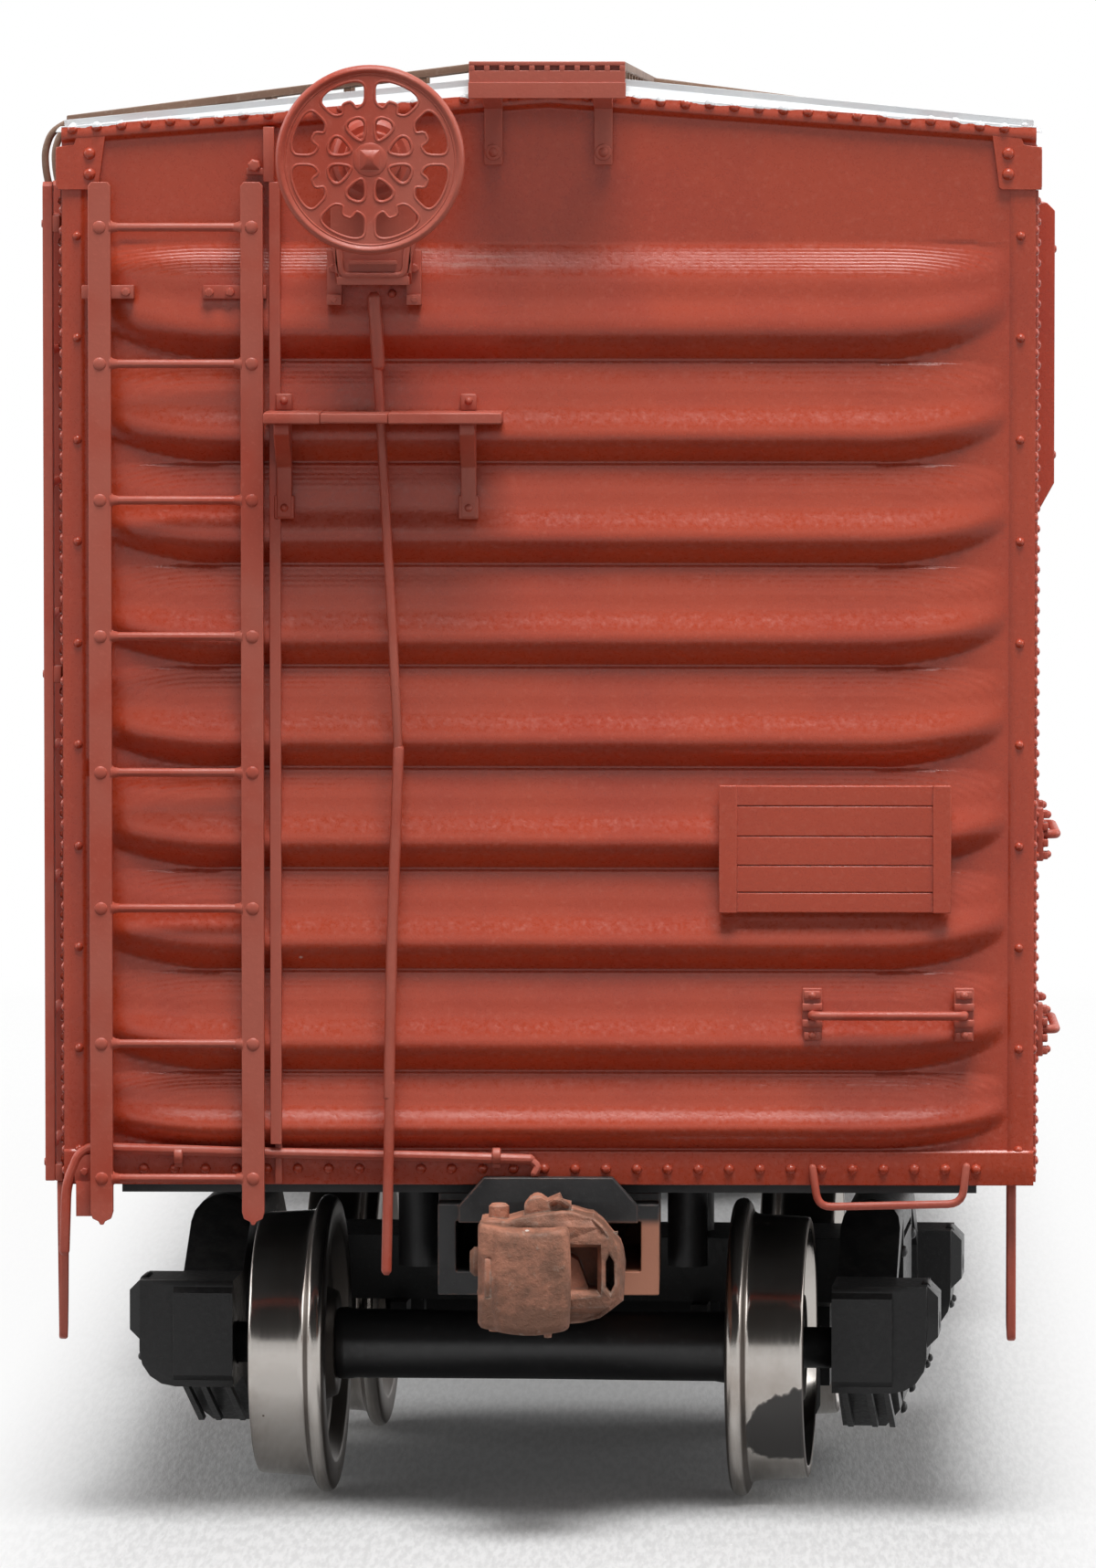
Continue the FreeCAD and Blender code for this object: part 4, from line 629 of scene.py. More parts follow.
def end_face(sizes):
    """Pressed end sheet as one fine grid with a turned-back rim; also gives each point's relief and ripple share."""
    columns, rows = end_columns(), end_rows()
    sill, post, border = 13.47, 16.4, 0.64
    relief, ripple, points = [], [], []
    for kind, value in rows:
        for x in columns:
            top = end_top(x)
            z = {"height": value, "share": RIB_EDGES[0] + (top - 0.7 - RIB_EDGES[0]) * value, "drop": top - value}[kind]
            out, lines = rib_relief(x, z, sizes) if kind == "height" else (0.0, 0.0)
            relief.append(max(0.0, out + RIPPLE_START))
            ripple.append(lines)
            if z < sill:
                out = 0.28
            if abs(x) > post and z > sill:
                out = max(out, 0.1)
            drop = top - z
            if drop < border:
                rise = min(1.0, (border - drop) / 0.22)
                out = max(out, 0.27 * rise * rise * (3 - 2 * rise))
            out -= 0.06 * (drop < 0.1) + 0.06 * (min(BODY_HALF - abs(x), z - BODY_BOTTOM) < 0.05)
            out += 0.01 * math.sin(x * 1.7 + z * 0.9) * math.sin(z * 1.3 - x * 0.6)
            points.append((x, END_Y - out, z))
    wide, tall = len(columns), len(rows)
    faces = [(r * wide + c, r * wide + c + 1, (r + 1) * wide + c + 1, (r + 1) * wide + c)
             for r in range(tall - 1) for c in range(wide - 1)]
    rim = list(range(wide)) + [r * wide + wide - 1 for r in range(1, tall)]
    rim += list(range(tall * wide - 2, (tall - 1) * wide - 1, -1)) + [r * wide for r in range(tall - 2, 0, -1)]
    base, n = len(points), len(rim)
    for x, _, z in [points[i] for i in rim]:
        points.append((x, END_Y + 1.0, min(z, CAD_RIDGE - EAVE_SLOPE * abs(x))))
    faces += [(rim[i], base + i, base + (i + 1) % n, rim[(i + 1) % n]) for i in range(n)]
    faces.append(tuple(range(base, base + n)))
    return Form().add(points, faces), relief + [0.0] * n, ripple + [0.0] * n


def end_rivets(sizes):
    """Rivets of the end: sill flange, top edge, corner posts and corner caps."""
    form = Form()
    small, high = sizes.rivet_radius / MM, sizes.rivet_height / MM
    jitter = random.Random(3)
    for x in steps(-14.45, 15.95, 1.1):
        form.dome((x, END_Y - 0.28, 12.83), FRONT, small * 1.3, high * 1.9)
    for x in steps(-16.9, 17.0, 0.87):
        rise = jitter.uniform(-0.04, 0.04)
        form.dome((x, END_Y - 0.24, end_top(x) - 0.1 + rise), FRONT, small * 1.3, high * 2.2, 10)
    for z in [46.08 - 3.62 * i for i in range(10)]:
        for side in (-1, 1):
            form.dome((side * 16.76, END_Y - 0.1, z), FRONT, small * 1.1, high * 1.6)
    for side in (-1, 1):
        for z in (49.0, 48.27):
            form.dome((side * 16.3, END_Y - 0.26, z), FRONT, 0.22, 0.15, 12)
    return form


def corner_caps():
    """Plates that wrap the top corners of the body."""
    form = Form()
    for side in (-1, 1):
        outline = [(17.5, 47.82), (17.4, 47.72), (16.1, 47.72), (15.98, 47.8), (15.72, end_top(15.72) - 0.3),
                   (15.8, end_top(15.8) - 0.2), (16.7, end_top(16.7) - 0.2), (16.85, 49.32), (17.42, 49.24),
                   (17.5, 49.15)]
        form.prism([(side * x, END_Y - 0.26, z) for x, z in outline], (0, 0.3, 0))
        form.block((side * 17.5, END_Y + 0.04, 47.72), (side * 17.3, END_Y + 1.6, 49.24))
        for z in (48.9, 48.25):
            form.dome((side * 17.42, END_Y + 0.6, z), (side, 0, 0), 0.14, 0.08, 8)
    return form


def ladder_brackets():
    """Straps with bolts behind the ladder's stiles, and the upright strip beside it."""
    form = Form()
    seat, front = END_Y - 0.05, END_Y - 0.85
    for low, high, bolts in ((-16.55, -14.7, (-14.98,)), (-12.25, -10.0, (-12.02, -11.28))):
        form.block((low, front, 43.86), (high, END_Y - 0.3, 44.34))
        for x in bolts:
            form.bolt((x, front, 44.1), FRONT, 0.17, 0.18)
    for z in (27.12, 12.75):
        for x in (-15.9, -10.5):
            form.block((x - 0.35, front, z - 0.3), (x + 0.35, END_Y - 0.1, z + 0.3))
    form.block((-9.9, front, 13.75), (-9.5, seat, 48.0))
    form.block((-9.75, END_Y - 0.5, 12.3), (-9.5, seat, 13.75))
    form.block((-10.1, front, 48.0), (-9.72, seat, 49.95))
    form.bolt((-10.42, END_Y - 0.75, 48.58), FRONT, 0.24, 0.3)
    return form.block((-10.7, END_Y - 0.75, 48.25), (-9.9, seat, 48.5))


# Hand brake

def rounded_sector(center, radius, half_radial, spoke_half, power, tooth=0.0, count=16):
    """Closed outline of one opening of the brake wheel between two spokes; a tooth pushes its inner edge outwards."""
    walk = [i / count * 2 - 1 for i in range(count)]
    square = [(t, -1) for t in walk] + [(1, t) for t in walk] + [(-t, 1) for t in walk] + [(-1, -t) for t in walk]
    points = []
    for a, b in square:
        pull = (abs(a) ** power + abs(b) ** power) ** (-1 / power)
        u, v = a * pull, b * pull
        r = radius + half_radial * v
        half_angle = math.pi / 8 - math.asin(min(0.95, spoke_half / r))
        if v < 0 and tooth:
            r += tooth * math.exp(-(u / 0.36) ** 6) * min(1.0, -v * 1.3)
        angle = center + u * half_angle
        points.append((math.sin(angle) * r, math.cos(angle) * r))
    return points


def brake_wheel_form():
    """Spoked hand wheel with a toothed ring, wedge openings with raised borders, a beaded rim and a square hub."""
    outlines = [[(math.sin(math.tau * i / 96) * 3.02, math.cos(math.tau * i / 96) * 3.02) for i in range(96)]]
    borders = Form()
    for k in range(8):
        center = math.pi / 8 + math.pi / 4 * k
        outlines.append(rounded_sector(center, 2.34, 0.45, 0.2, 3.6, 0.3, 20)[::-1])
        outlines.append(rounded_sector(center, 1.14, 0.34, 0.22, 2.5)[::-1])
        borders.hoop([(x, -0.13, z) for x, z in rounded_sector(center, 2.34, 0.49, 0.16, 3.6, 0.3, 20)], 0.06)
        borders.hoop([(x, -0.14, z) for x, z in rounded_sector(center, 1.14, 0.41, 0.15, 2.5)], 0.065)
    form = flat_curve("brake_wheel_plate", outlines, 0.3, 0.05).joined(borders)
    rim = [(-0.14, 2.94), (-0.2, 2.98), (-0.16, 3.02), (-0.24, 3.08), (-0.28, 3.16), (-0.22, 3.26), (-0.08, 3.32),
           (0.08, 3.31), (0.2, 3.23), (0.23, 3.1), (0.14, 3.0), (0.0, 2.93)]
    form.lathe(rim, (0, 0, 0), (0, 1, 0), 96, "joined")
    form.lathe([(-0.05, 0.62), (-0.17, 0.6), (-0.2, 0.46)], (0, 0, 0), (0, 1, 0), 32)
    corners = [(-1, -1), (1, -1), (1, 1), (-1, 1)]
    form.skin([[(a * 0.4, -0.16, b * 0.4) for a, b in corners], [(a * 0.14, -0.36, b * 0.14) for a, b in corners]])
    return form.changed(lambda p: p + WHEEL_CENTER)


def brake_housing_form():
    """Gear case behind the wheel with its tapered lower front, ledge, legs and staff."""
    form = Form()
    x0, _, middle = WHEEL_CENTER
    face, seat = -73.3, -72.62
    form.lathe([(-74.6, 1.25), (-74.45, 1.42), (-73.8, 1.55), (seat, 1.55)], (x0, 0, middle), (0, 1, 0), 40)
    form.lathe([(-74.9, 0.9), (-74.85, 1.0), (-74.4, 1.05)], (x0, 0, middle), (0, 1, 0), 32)
    outline = [(-1.5, 48.8), (-1.5, 45.9), (-1.22, 44.66), (1.22, 44.66), (1.5, 45.9), (1.5, 48.8)]
    form.prism([(x0 + x, -74.3, z) for x, z in outline], (0, 1.7, 0))
    form.tube([(x0 + x, -74.36, z) for x, z in ((-1.22, 45.9), (-1.1, 44.72), (1.1, 44.72), (1.22, 45.9))],
              0.12, 8, 0.25)
    form.block((x0 - 0.85, -74.52, 45.1), (x0 + 0.85, -74.25, 45.24))
    form.block((x0 - 1.28, -74.42, 44.38), (x0 + 1.28, seat, 44.68))
    for side in (-1, 1):
        inner, leg, outer = x0 + side * 1.15, x0 + side * 1.42, x0 + side * 1.67
        form.block((inner, face, 43.66), (outer, seat, 45.6))
        form.bolt((leg, face, 44.95), FRONT, 0.18, 0.16)
        form.block((inner, -73.6, 43.66), (outer, -73.2, 44.02))
        form.bolt((leg, -73.6, 43.85), FRONT, 0.12, 0.08)
        web = [(face, 45.6), (-74.3, 45.9), (-74.3, 44.8), (face, 44.4)]
        form.prism([(x0 + side * 1.2, y, z) for y, z in web], (side * 0.14, 0, 0))
    form.dome((x0 + 0.62, seat, 44.05), FRONT, 0.16, 0.14)
    return form.tube([(x0, -74.6, middle), (x0, WHEEL_CENTER.y + 0.1, middle)], 0.36, 20)


def brake_step_form():
    """Platform under the hand brake on two bent straps, with its bolts."""
    form = Form()
    seat = END_Y - 0.62
    front = seat - 3.0
    for low, high, lower in ((-10.0, -8.0, 0.0), (-8.0, -5.6, 0.02), (-5.6, -1.6, 0.0)):
        form.block((low, front, 39.5 + lower), (high, seat, 39.9 - lower))
    for x in (-9.65, -3.1):
        outline = [(seat, 39.5), (seat, 36.1), (seat - 0.34, 36.1), (seat - 0.34, 37.9), (front + 0.5, 39.1),
                   (front + 0.5, 39.5)]
        form.prism([(x, y, z) for y, z in outline], (0.55, 0, 0))
        form.block((x - 0.02, seat - 0.34, 39.9), (x + 0.57, seat, 40.5))
        for z in (40.25, 36.45):
            form.dome((x + 0.28, seat - 0.34, z), FRONT, 0.16, 0.14)
        form.block((x - 0.08, seat - 0.3, 36.05), (x + 0.63, seat + 0.2, 36.9))
        form.block((x, seat, 39.9), (x + 0.55, seat + 0.6, 40.5))
    return form


def brake_rod_form():
    y = END_Y - 1.35
    form = Form()
    for radius, sides, bend, path in (
            (0.24, 10, 0.5, [(-6.16, 43.9), (-6.0, 41.5)]),
            (0.17, 10, 0.8, [(-6.05, 41.7), (-5.5, 31.8), (-5.3, 27.5)]),
            (0.2, 10, 0.6, [(-5.3, 27.9), (-5.33, 27.2), (-5.55, 21.0), (-5.66, 15.5)]),
            (0.19, 12, 0.5, [(-5.62, 16.0), (-5.75, 9.3)])):
        form.tube([(x, y, z) for x, z in path], radius, sides, bend)
    return form


# Ladders, grabs and other fittings

def ladder_form(sizes):
    """End ladder: two stiles with shaped feet, eight rungs and the round marks where they meet."""
    form = Form()
    front, back = END_Y - 1.3, END_Y - 0.85
    middle, r = (front + back) / 2, sizes.rung_radius / MM
    right = [(0.06, 10.9), (0.12, 11.02), (0.33, 11.12), (0.4, 11.35), (0.4, 47.85), (0.28, 48.0)]
    outline = [(-x, z) for x, z in right[3::-1]] + right + [(-0.28, 48.0), (-0.4, 47.85)]
    for c in (-15.9, -10.5):
        form.prism([(c + x, front, z) for x, z in outline], (0, back - front, 0))
    for z in LADDER_RUNGS:
        for a, b in ((-15.55, -15.25), (-10.85, -11.15)):
            form.lathe([(0, r * 1.9), (0.12, r * 1.25), (abs(b - a), r)], (a, middle, z), (b - a, 0, 0), 12)
        form.tube([(-15.6, middle, z), (-10.8, middle, z)], r, 10)
        for x in (-15.9, -10.5):
            form.dome((x, front, z), FRONT, 0.24, 0.07, 12)
    return form


def side_ladder_form(sizes):
    form = Form()
    outer, inner = -18.05, -17.7
    for low in (-71.1, -65.7):
        outline = [(0, 12.25), (0.8, 12.25), (0.8, 47.85), (0.6, 48.0), (0.2, 48.0), (0, 47.85)]
        form.prism([(outer, low + y, z) for y, z in outline], (inner - outer, 0, 0))
        for z in (12.25, 30.12, 46.2):
            form.block((inner, low, z), (-17.42, low + 0.8, z + 0.6))
        for z in (12.9, 30.42, 46.5):
            form.bolt((outer, low + 0.4, z), (-1, 0, 0), 0.16, 0.06)
    for i in range(8):
        z = 13.4 + 4.757 * i
        form.tube([(-17.875, -70.7, z), (-17.875, -65.3, z)], sizes.rung_radius / MM, 10)
    return form


def grab_form(left, seat, z, length):
    """Hand grab with stacked bolt plates as feet, along X with its back at y = seat."""
    form = Form()
    right, front = left + length, seat - 0.42
    form.tube([(left, seat, z), (left, seat - 0.72, z), (right, seat - 0.72, z), (right, seat, z)], 0.17, 10, 0.3)
    for x in (left, right):
        form.block((x - 0.35, seat - 0.25, z - 0.95), (x + 0.35, seat + 0.15, z + 0.95))
        for dz, grow in ((-0.75, 0.0), (-0.3, 0.06), (0.28, 0.06), (0.72, 0.0)):
            form.block((x - 0.3 - grow, front, z + dz - 0.14), (x + 0.3 + grow, seat - 0.2, z + dz + 0.14))
        for dz in (-0.72, 0.7):
            form.dome((x, front, z + dz), FRONT, 0.15, 0.12)
    return form


def side_grab_form(z):
    """Side hand grab: the end's grab turned onto the right side."""
    turn = Matrix.Rotation(math.radians(90), 3, "Z")
    return grab_form(0, 0, 0, 5.4).changed(lambda p: turn @ p + Vector((BODY_HALF + 0.12, -70.4, z)))


def sill_hold_form():
    path = ((9.42, 12.9), (9.62, 11.5), (14.75, 11.62), (14.9, 12.95))
    return Form().tube([(x, END_Y - 0.47, z) for x, z in path], 0.15, 10, 0.5)


def lever_form():
    """Uncoupling lever on the end sill with its eyes and the handle bent down at the corner."""
    form = Form()
    y = END_Y - 0.57
    path = ((-0.65, 13.2), (-4.0, 13.3), (-10.0, 13.42), (-16.35, 13.6), (-16.75, 13.35), (-17.2, 12.3), (-17.28, 9.9))
    form.tube([(x, y, z) for x, z in path], 0.19, 12, 0.7)
    form.tube([(-0.65, y, 13.2), (-0.35, y - 0.05, 12.95), (-0.5, y - 0.1, 12.7)], 0.14, 8, 0.2)
    for x in (-1.85, -13.2):
        form.lathe([(-0.16, 0.24), (-0.12, 0.3), (0.12, 0.3), (0.16, 0.24)], (x, y, 13.32), (1, 0, 0), 14)
        form.block((x - 0.14, y, 12.9), (x + 0.14, END_Y - 0.2, 13.3))
    form.block((-16.9, END_Y - 0.7, 12.35), (-16.2, END_Y - 0.25, 13.35))
    form.block((-16.85, END_Y - 0.75, 11.15), (-16.25, END_Y - 0.3, 12.4))
    return form.bolt((-16.55, END_Y - 0.7, 12.75), FRONT, 0.15, 0.14)


def step_iron_form(x0, lean, skew):
    """Stirrup step under the sill: flat strap bent to a U; lean bends it sideways and skew turns it in plan."""
    low, high, top, bottom = -71.0, -65.4, 12.25, 6.5
    middle = (low + high) / 2
    half = middle - low
    outer = [(half, top), (half, 9.5), (half, bottom + 0.35), (half - 0.1, bottom + 0.1), (half - 0.35, bottom)]
    inner = [(half - 0.6, bottom + 0.5), (half - 0.5, bottom + 0.55), (half - 0.5, 9.5), (half - 0.5, top)]
    outline = [(middle - y, z) for y, z in outer] + [(middle + y, z) for y, z in outer[::-1] + inner[::-1]]
    outline += [(middle - y, z) for y, z in inner]
    form = Form().prism([(x0, y, z) for y, z in outline], (0.32, 0, 0))
    return form.changed(lambda p: Vector((p.x + lean * math.sin((top - p.z) / (top - bottom) * 2.6)
                                          + skew * (p.y - low), p.y, p.z)))


def tack_board_form():
    """Blank notice board of five planks between two battens."""
    form = Form()
    back = END_Y - 0.6
    edges = [22.05, 22.78, 23.74, 24.78, 25.86, 26.6]
    for low, high in zip(edges, edges[1:]):
        form.block((6.6, back - 0.4, low + 0.012), (13.85, back, high - 0.012))
    form.block((6.1, back - 0.3, 22.1), (14.3, back, 26.55))
    for x in (6.07, 13.67):
        form.block((x, back - 0.55, 22.05), (x + 0.65, back - 0.1, 26.6))
    return form


def side_board_form():
    """Plain board high on the side near the end, with chamfered ends and two bolts."""
    form = Form()
    x, outer = BODY_HALF + 0.1, BODY_HALF + 0.95
    outline = [(x, 36.1), (outer - 0.5, 36.1), (outer, 37.0), (outer, 46.9), (outer - 0.3, 47.2), (x, 47.2)]
    form.prism([(a, -63.0, z) for a, z in outline], (0, 6.0, 0))
    for y in (-62.0, -58.0):
        for z in (38.0, 45.5):
            form.dome((outer, y, z), (1, 0, 0), 0.17, 0.1)
    return form


# Sides, roof and walks

def side_rivet_form(side):
    """Rivet rows of one side: double rows at the sheet laps, sill and eave rows and corner rows."""
    form = Form()
    out, face, door_edge = (side, 0, 0), side * BODY_HALF, 12.5
    for i in range(11):
        low = -71.0 + (2 * 71.0 - 0.9) / 10 * i
        if door_edge < abs(low + 0.45) < 32.8:
            continue
        for y in (low + 0.22, low + 0.68):
            if abs(y) >= door_edge:
                for z in steps(13.0, 47.6, 0.73 if i in (0, 10) else 1.1):
                    form.dome((face + side * 0.12, y, z), out, 0.15, 0.1, 6)
    for y in steps(-70.4, 70.5, 1.1):
        if not -13.0 < side * y < 33.5:
            for z in (49.2, 12.7):
                form.dome((face, y, z), out, 0.15, 0.1, 6)
    for end in (-1, 1):
        for z in steps(12.7, 47.5, 0.73):
            form.dome((face, end * 71.6, z), out, 0.17, 0.13, 8)
    return form


def roof_top(x):
    return ROOF_TOP - ROOF_SLOPE * abs(x)


def roof_sheet():
    """Low gable roof with an easy front edge and raised seam caps."""
    form = Form()
    half, reach = ROOF_HALF, ROOF_REACH
    sections = [(-reach, 0.5), (-reach + 0.06, 0.3), (-reach + 0.2, 0.12), (-reach + 0.42, 0.02), (-reach + 0.6, 0.0)]
    sections += [(-y, drop) for y, drop in sections[::-1]]
    points, faces = [], []
    for y, drop in sections:
        for x in (-half, -half + 0.12, 0.0, half - 0.12, half):
            low = CAD_RIDGE - EAVE_SLOPE * min(abs(x), BODY_HALF)
            top = roof_top(x) - drop - (0.1 if abs(x) == half else 0.0)
            points += [(x, y, low), (x, y, max(low + 0.03, top))]
    wide, last = 10, len(sections) - 1
    pairs = range(0, wide - 2, 2)
    for a in range(0, last * wide, wide):
        b = a + wide
        for j in pairs:
            faces += [(a + j, a + j + 2, b + j + 2, b + j), (a + j + 1, b + j + 1, b + j + 3, a + j + 3)]
        faces += [(a, b, b + 1, a + 1), (a + wide - 2, a + wide - 1, b + wide - 1, b + wide - 2)]
    faces += [(base + j, base + j + 1, base + j + 3, base + j + 2) for base in (0, last * wide) for j in pairs]
    form.add(points, faces)
    trim = 0.42
    for i in range(13):
        low = -reach + SEAM_STEP * i
        high = low + SEAM_WIDTH - trim * (i == 12)
        low += trim * (i == 0)
        for side in (-1, 1):
            outline = [(0.0, low), (side * 17.2, low), (side * 17.2, high), (0.0, high)]
            form.prism([(x, y, roof_top(x) - 0.05) for x, y in outline],
                       Vector((side * ROOF_SLOPE, 0, 1)).normalized() * 0.26)
    return form


def roof_details():
    """Raised panels between the seam caps, and rivets along the roof's eaves."""
    form = Form()
    for i in range(12):
        low = -ROOF_REACH + SEAM_STEP * i + SEAM_WIDTH
        high = low + SEAM_STEP - SEAM_WIDTH
        for side in (-1, 1):
            outline = [(4.2, low + 2.2), (15.6, low + 1.6), (15.6, high - 1.6), (4.2, high - 2.2)]
            form.prism([(side * x, y, roof_top(x) - 0.05) for x, y in outline],
                       Vector((side * ROOF_SLOPE, 0, 1)).normalized() * 0.2)
    for side in (-1, 1):
        for y in steps(-71.8, 71.9, 1.1):
            form.dome((side * 16.9, y, roof_top(16.9)), (side * ROOF_SLOPE, 0, 1), 0.14, 0.09, 6)
    return form


def walk_grating():
    """Ridge walk: a grating of long and cross bars on saddles."""
    form = Form()
    top, thick, reach = WALK_TOP, 0.3, 75.2
    for i in range(11):
        x = -WALK_HALF + 0.11 + (2 * WALK_HALF - 0.22) / 10 * i
        form.block((x - 0.11, -reach, top - thick), (x + 0.11, reach, top))
    bar = WALK_HALF - 0.05
    for y in steps(-reach + 0.35, reach - 0.2, 0.96):
        form.block((-bar, y - 0.14, top - thick + 0.03), (bar, y + 0.14, top - 0.03))
    edge, seat = WALK_HALF - 0.1, roof_top(WALK_HALF) + 0.2
    saddle = [(-edge, top - thick + 0.05), (edge, top - thick + 0.05), (edge, seat), (0, 51.9), (-edge, seat)]
    for i in range(13):
        form.prism([(x, -ROOF_REACH + SEAM_STEP * i, z) for x, z in saddle], (0, 0.8, 0))
    return form


def walk_ends():
    """Lip plates with a row of slots, and the bent straps that hold the walk to the end."""
    form = Form()
    half, tip = WALK_HALF, -75.3
    form.block((-half, tip + 0.06, 51.5), (half, tip + 0.35, 51.93))
    form.block((-half, tip + 0.06, 52.1), (half, tip + 0.35, WALK_TOP))
    for i in range(11):
        x = -half + 0.1 + (2 * half - 0.2) / 10 * i
        form.block((x - 0.1, tip + 0.06, 51.9), (x + 0.1, tip + 0.33, 52.12))
    form.block((-half - 0.02, tip, 50.95), (half + 0.02, tip + 0.35, 51.52))
    form.block((-half, tip + 0.3, 51.5), (half, tip + 0.4, 52.2))
    for x in (-1.95, 1.95):
        strap = [(-72.14, 48.6), (-72.44, 48.6), (-72.44, 50.6), (-74.95, 50.95), (-74.95, 51.3), (-72.14, 50.95)]
        form.prism([(x - 0.33, y, z) for y, z in strap], (0.66, 0, 0))
        form.dome((x, -72.44, 49.05), FRONT, 0.2, 0.16, 10)
        form.lathe([(0, 0.3), (0.05, 0.3), (0.06, 0.26)], (x, -72.44, 49.05), FRONT, 14)
    return form


def side_walk_form():
    """Board across the roof to the eave, made as a grating with feet on the roof."""
    form = Form()
    low, high = -71.5, -65.3
    near, far = (-2.75, 52.2), (-17.15, 50.35)
    slope = (near[1] - far[1]) / (near[0] - far[0])
    for i in range(9):
        y = low + 0.12 + (high - low - 0.24) / 8 * i
        form.prism([(x, y - 0.12, z) for x, z in (near, far, (far[0], far[1] - 0.28), (near[0], near[1] - 0.28))],
                   (0, 0.24, 0))
    for across in steps(0.2 - near[0], -far[0] - 0.2, 0.96):
        z = near[1] + slope * (-across - near[0])
        form.block((-across - 0.13, low + 0.05, z - 0.25), (-across + 0.13, high - 0.05, z - 0.05))
    for x in (-4.5, -7.2, -10.0, -12.8, -15.6):
        z = near[1] + slope * (x - near[0])
        for y in (low + 0.9, high - 0.9):
            form.block((x - 0.12, y - 0.12, roof_top(x) - 0.1), (x + 0.12, y + 0.12, z - 0.2))
    return form


def roof_grab_form():
    form = Form()
    path = ((-17.8, 47.7), (-17.95, 48.4), (-17.98, 49.1), (-17.75, 49.75), (-17.2, 50.1), (-16.6, 50.25))
    for y in (-70.7, -65.3):
        form.tube([(x, y, z) for x, z in path], 0.13, 10, 0.8)
    return form


# Couplers

def coupler_form():
    """Coupler head: front outline with its square recess, guard arm, lock top, pins and the shank behind."""
    outline = [(-2.3, 8.1), (-2.32, 11.35), (-1.95, 11.42), (-1.4, 11.36), (-0.9, 11.5), (-0.2, 11.62), (0.5, 11.72),
               (0.95, 11.7), (1.4, 11.56), (1.65, 11.52), (1.98, 11.25), (2.25, 10.9), (2.6, 10.5), (2.7, 10.2),
               (2.78, 9.7), (2.72, 8.55), (2.3, 8.26), (1.9, 7.95), (1.3, 7.76), (0.4, 7.68), (-1.2, 7.75)]
    hole = [(0.6, 8.9), (1.79, 8.9), (1.79, 10.44), (0.6, 10.44)]
    slot = [(2.1, 9.05), (2.26, 8.86), (2.4, 9.15), (2.38, 9.95), (2.22, 10.22), (2.1, 9.95)]

    def place_plate(p):
        crease = min(1.0, max(0.0, (p.x - 1.84) / 0.1))
        back = 0.0
        if p.y < 0:
            back = -0.42 * crease + 2.2 * max(0.0, p.x - 2.25) ** 2 * crease
            back += 0.07 * math.sin(p.z * 2.3 + p.x)
        return Vector((p.x, p.y - 74.95 + back, p.z))
    form = flat_curve("coupler_plate", [outline, hole[::-1], slot[::-1]], 2.6, 0.14).changed(place_plate)
    form.block((0.5, -74.4, 8.5), (2.5, -74.1, 10.8))
    form.prism([(0.6, -75.9, 8.85), (1.5, -75.6, 8.85), (1.1, -75.5, 9.9), (0.6, -75.8, 10.2)], (0, 1.5, 0))
    form.block((-1.15, -73.9, 9.3), (1.15, -66.0, 10.7))
    form.lathe([(0, 1.7), (1.4, 1.7)], (0, -66.0, 9.3), (0, 0, 1), 28)
    lock = [(-0.78, 11.45), (-0.8, 11.85), (-0.6, 12.1), (-0.2, 12.14), (0.02, 12.02), (0.45, 12.2), (0.55, 11.98),
            (0.85, 11.9), (0.88, 11.6)]
    form.prism([(x, -75.7, z) for x, z in lock], (0, 1.4, 0))
    form.lathe([(-0.9, 0.25), (-0.8, 0.34), (0.28, 0.34), (0.36, 0.2)], (-0.35, -75.0, 11.85), FRONT, 16)
    form.tube([(0.15, -75.6, 11.9), (0.4, -75.95, 12.12), (0.7, -75.8, 11.9)], 0.12, 8, 0.2)
    form.lathe([(0, 0.36), (4.45, 0.36), (4.55, 0.25)], (-1.7, -75.15, 7.35), (0, 0, 1), 16)
    form.lathe([(-0.5, 0.55), (0.25, 0.52), (0.4, 0.36)], (-2.32, -75.6, 9.87), (-1, 0, 0), 20)
    return form.lathe([(0, 0.17), (0.34, 0.13)], (0.05, -76.4, 7.6), (0, 0, -1), 8)


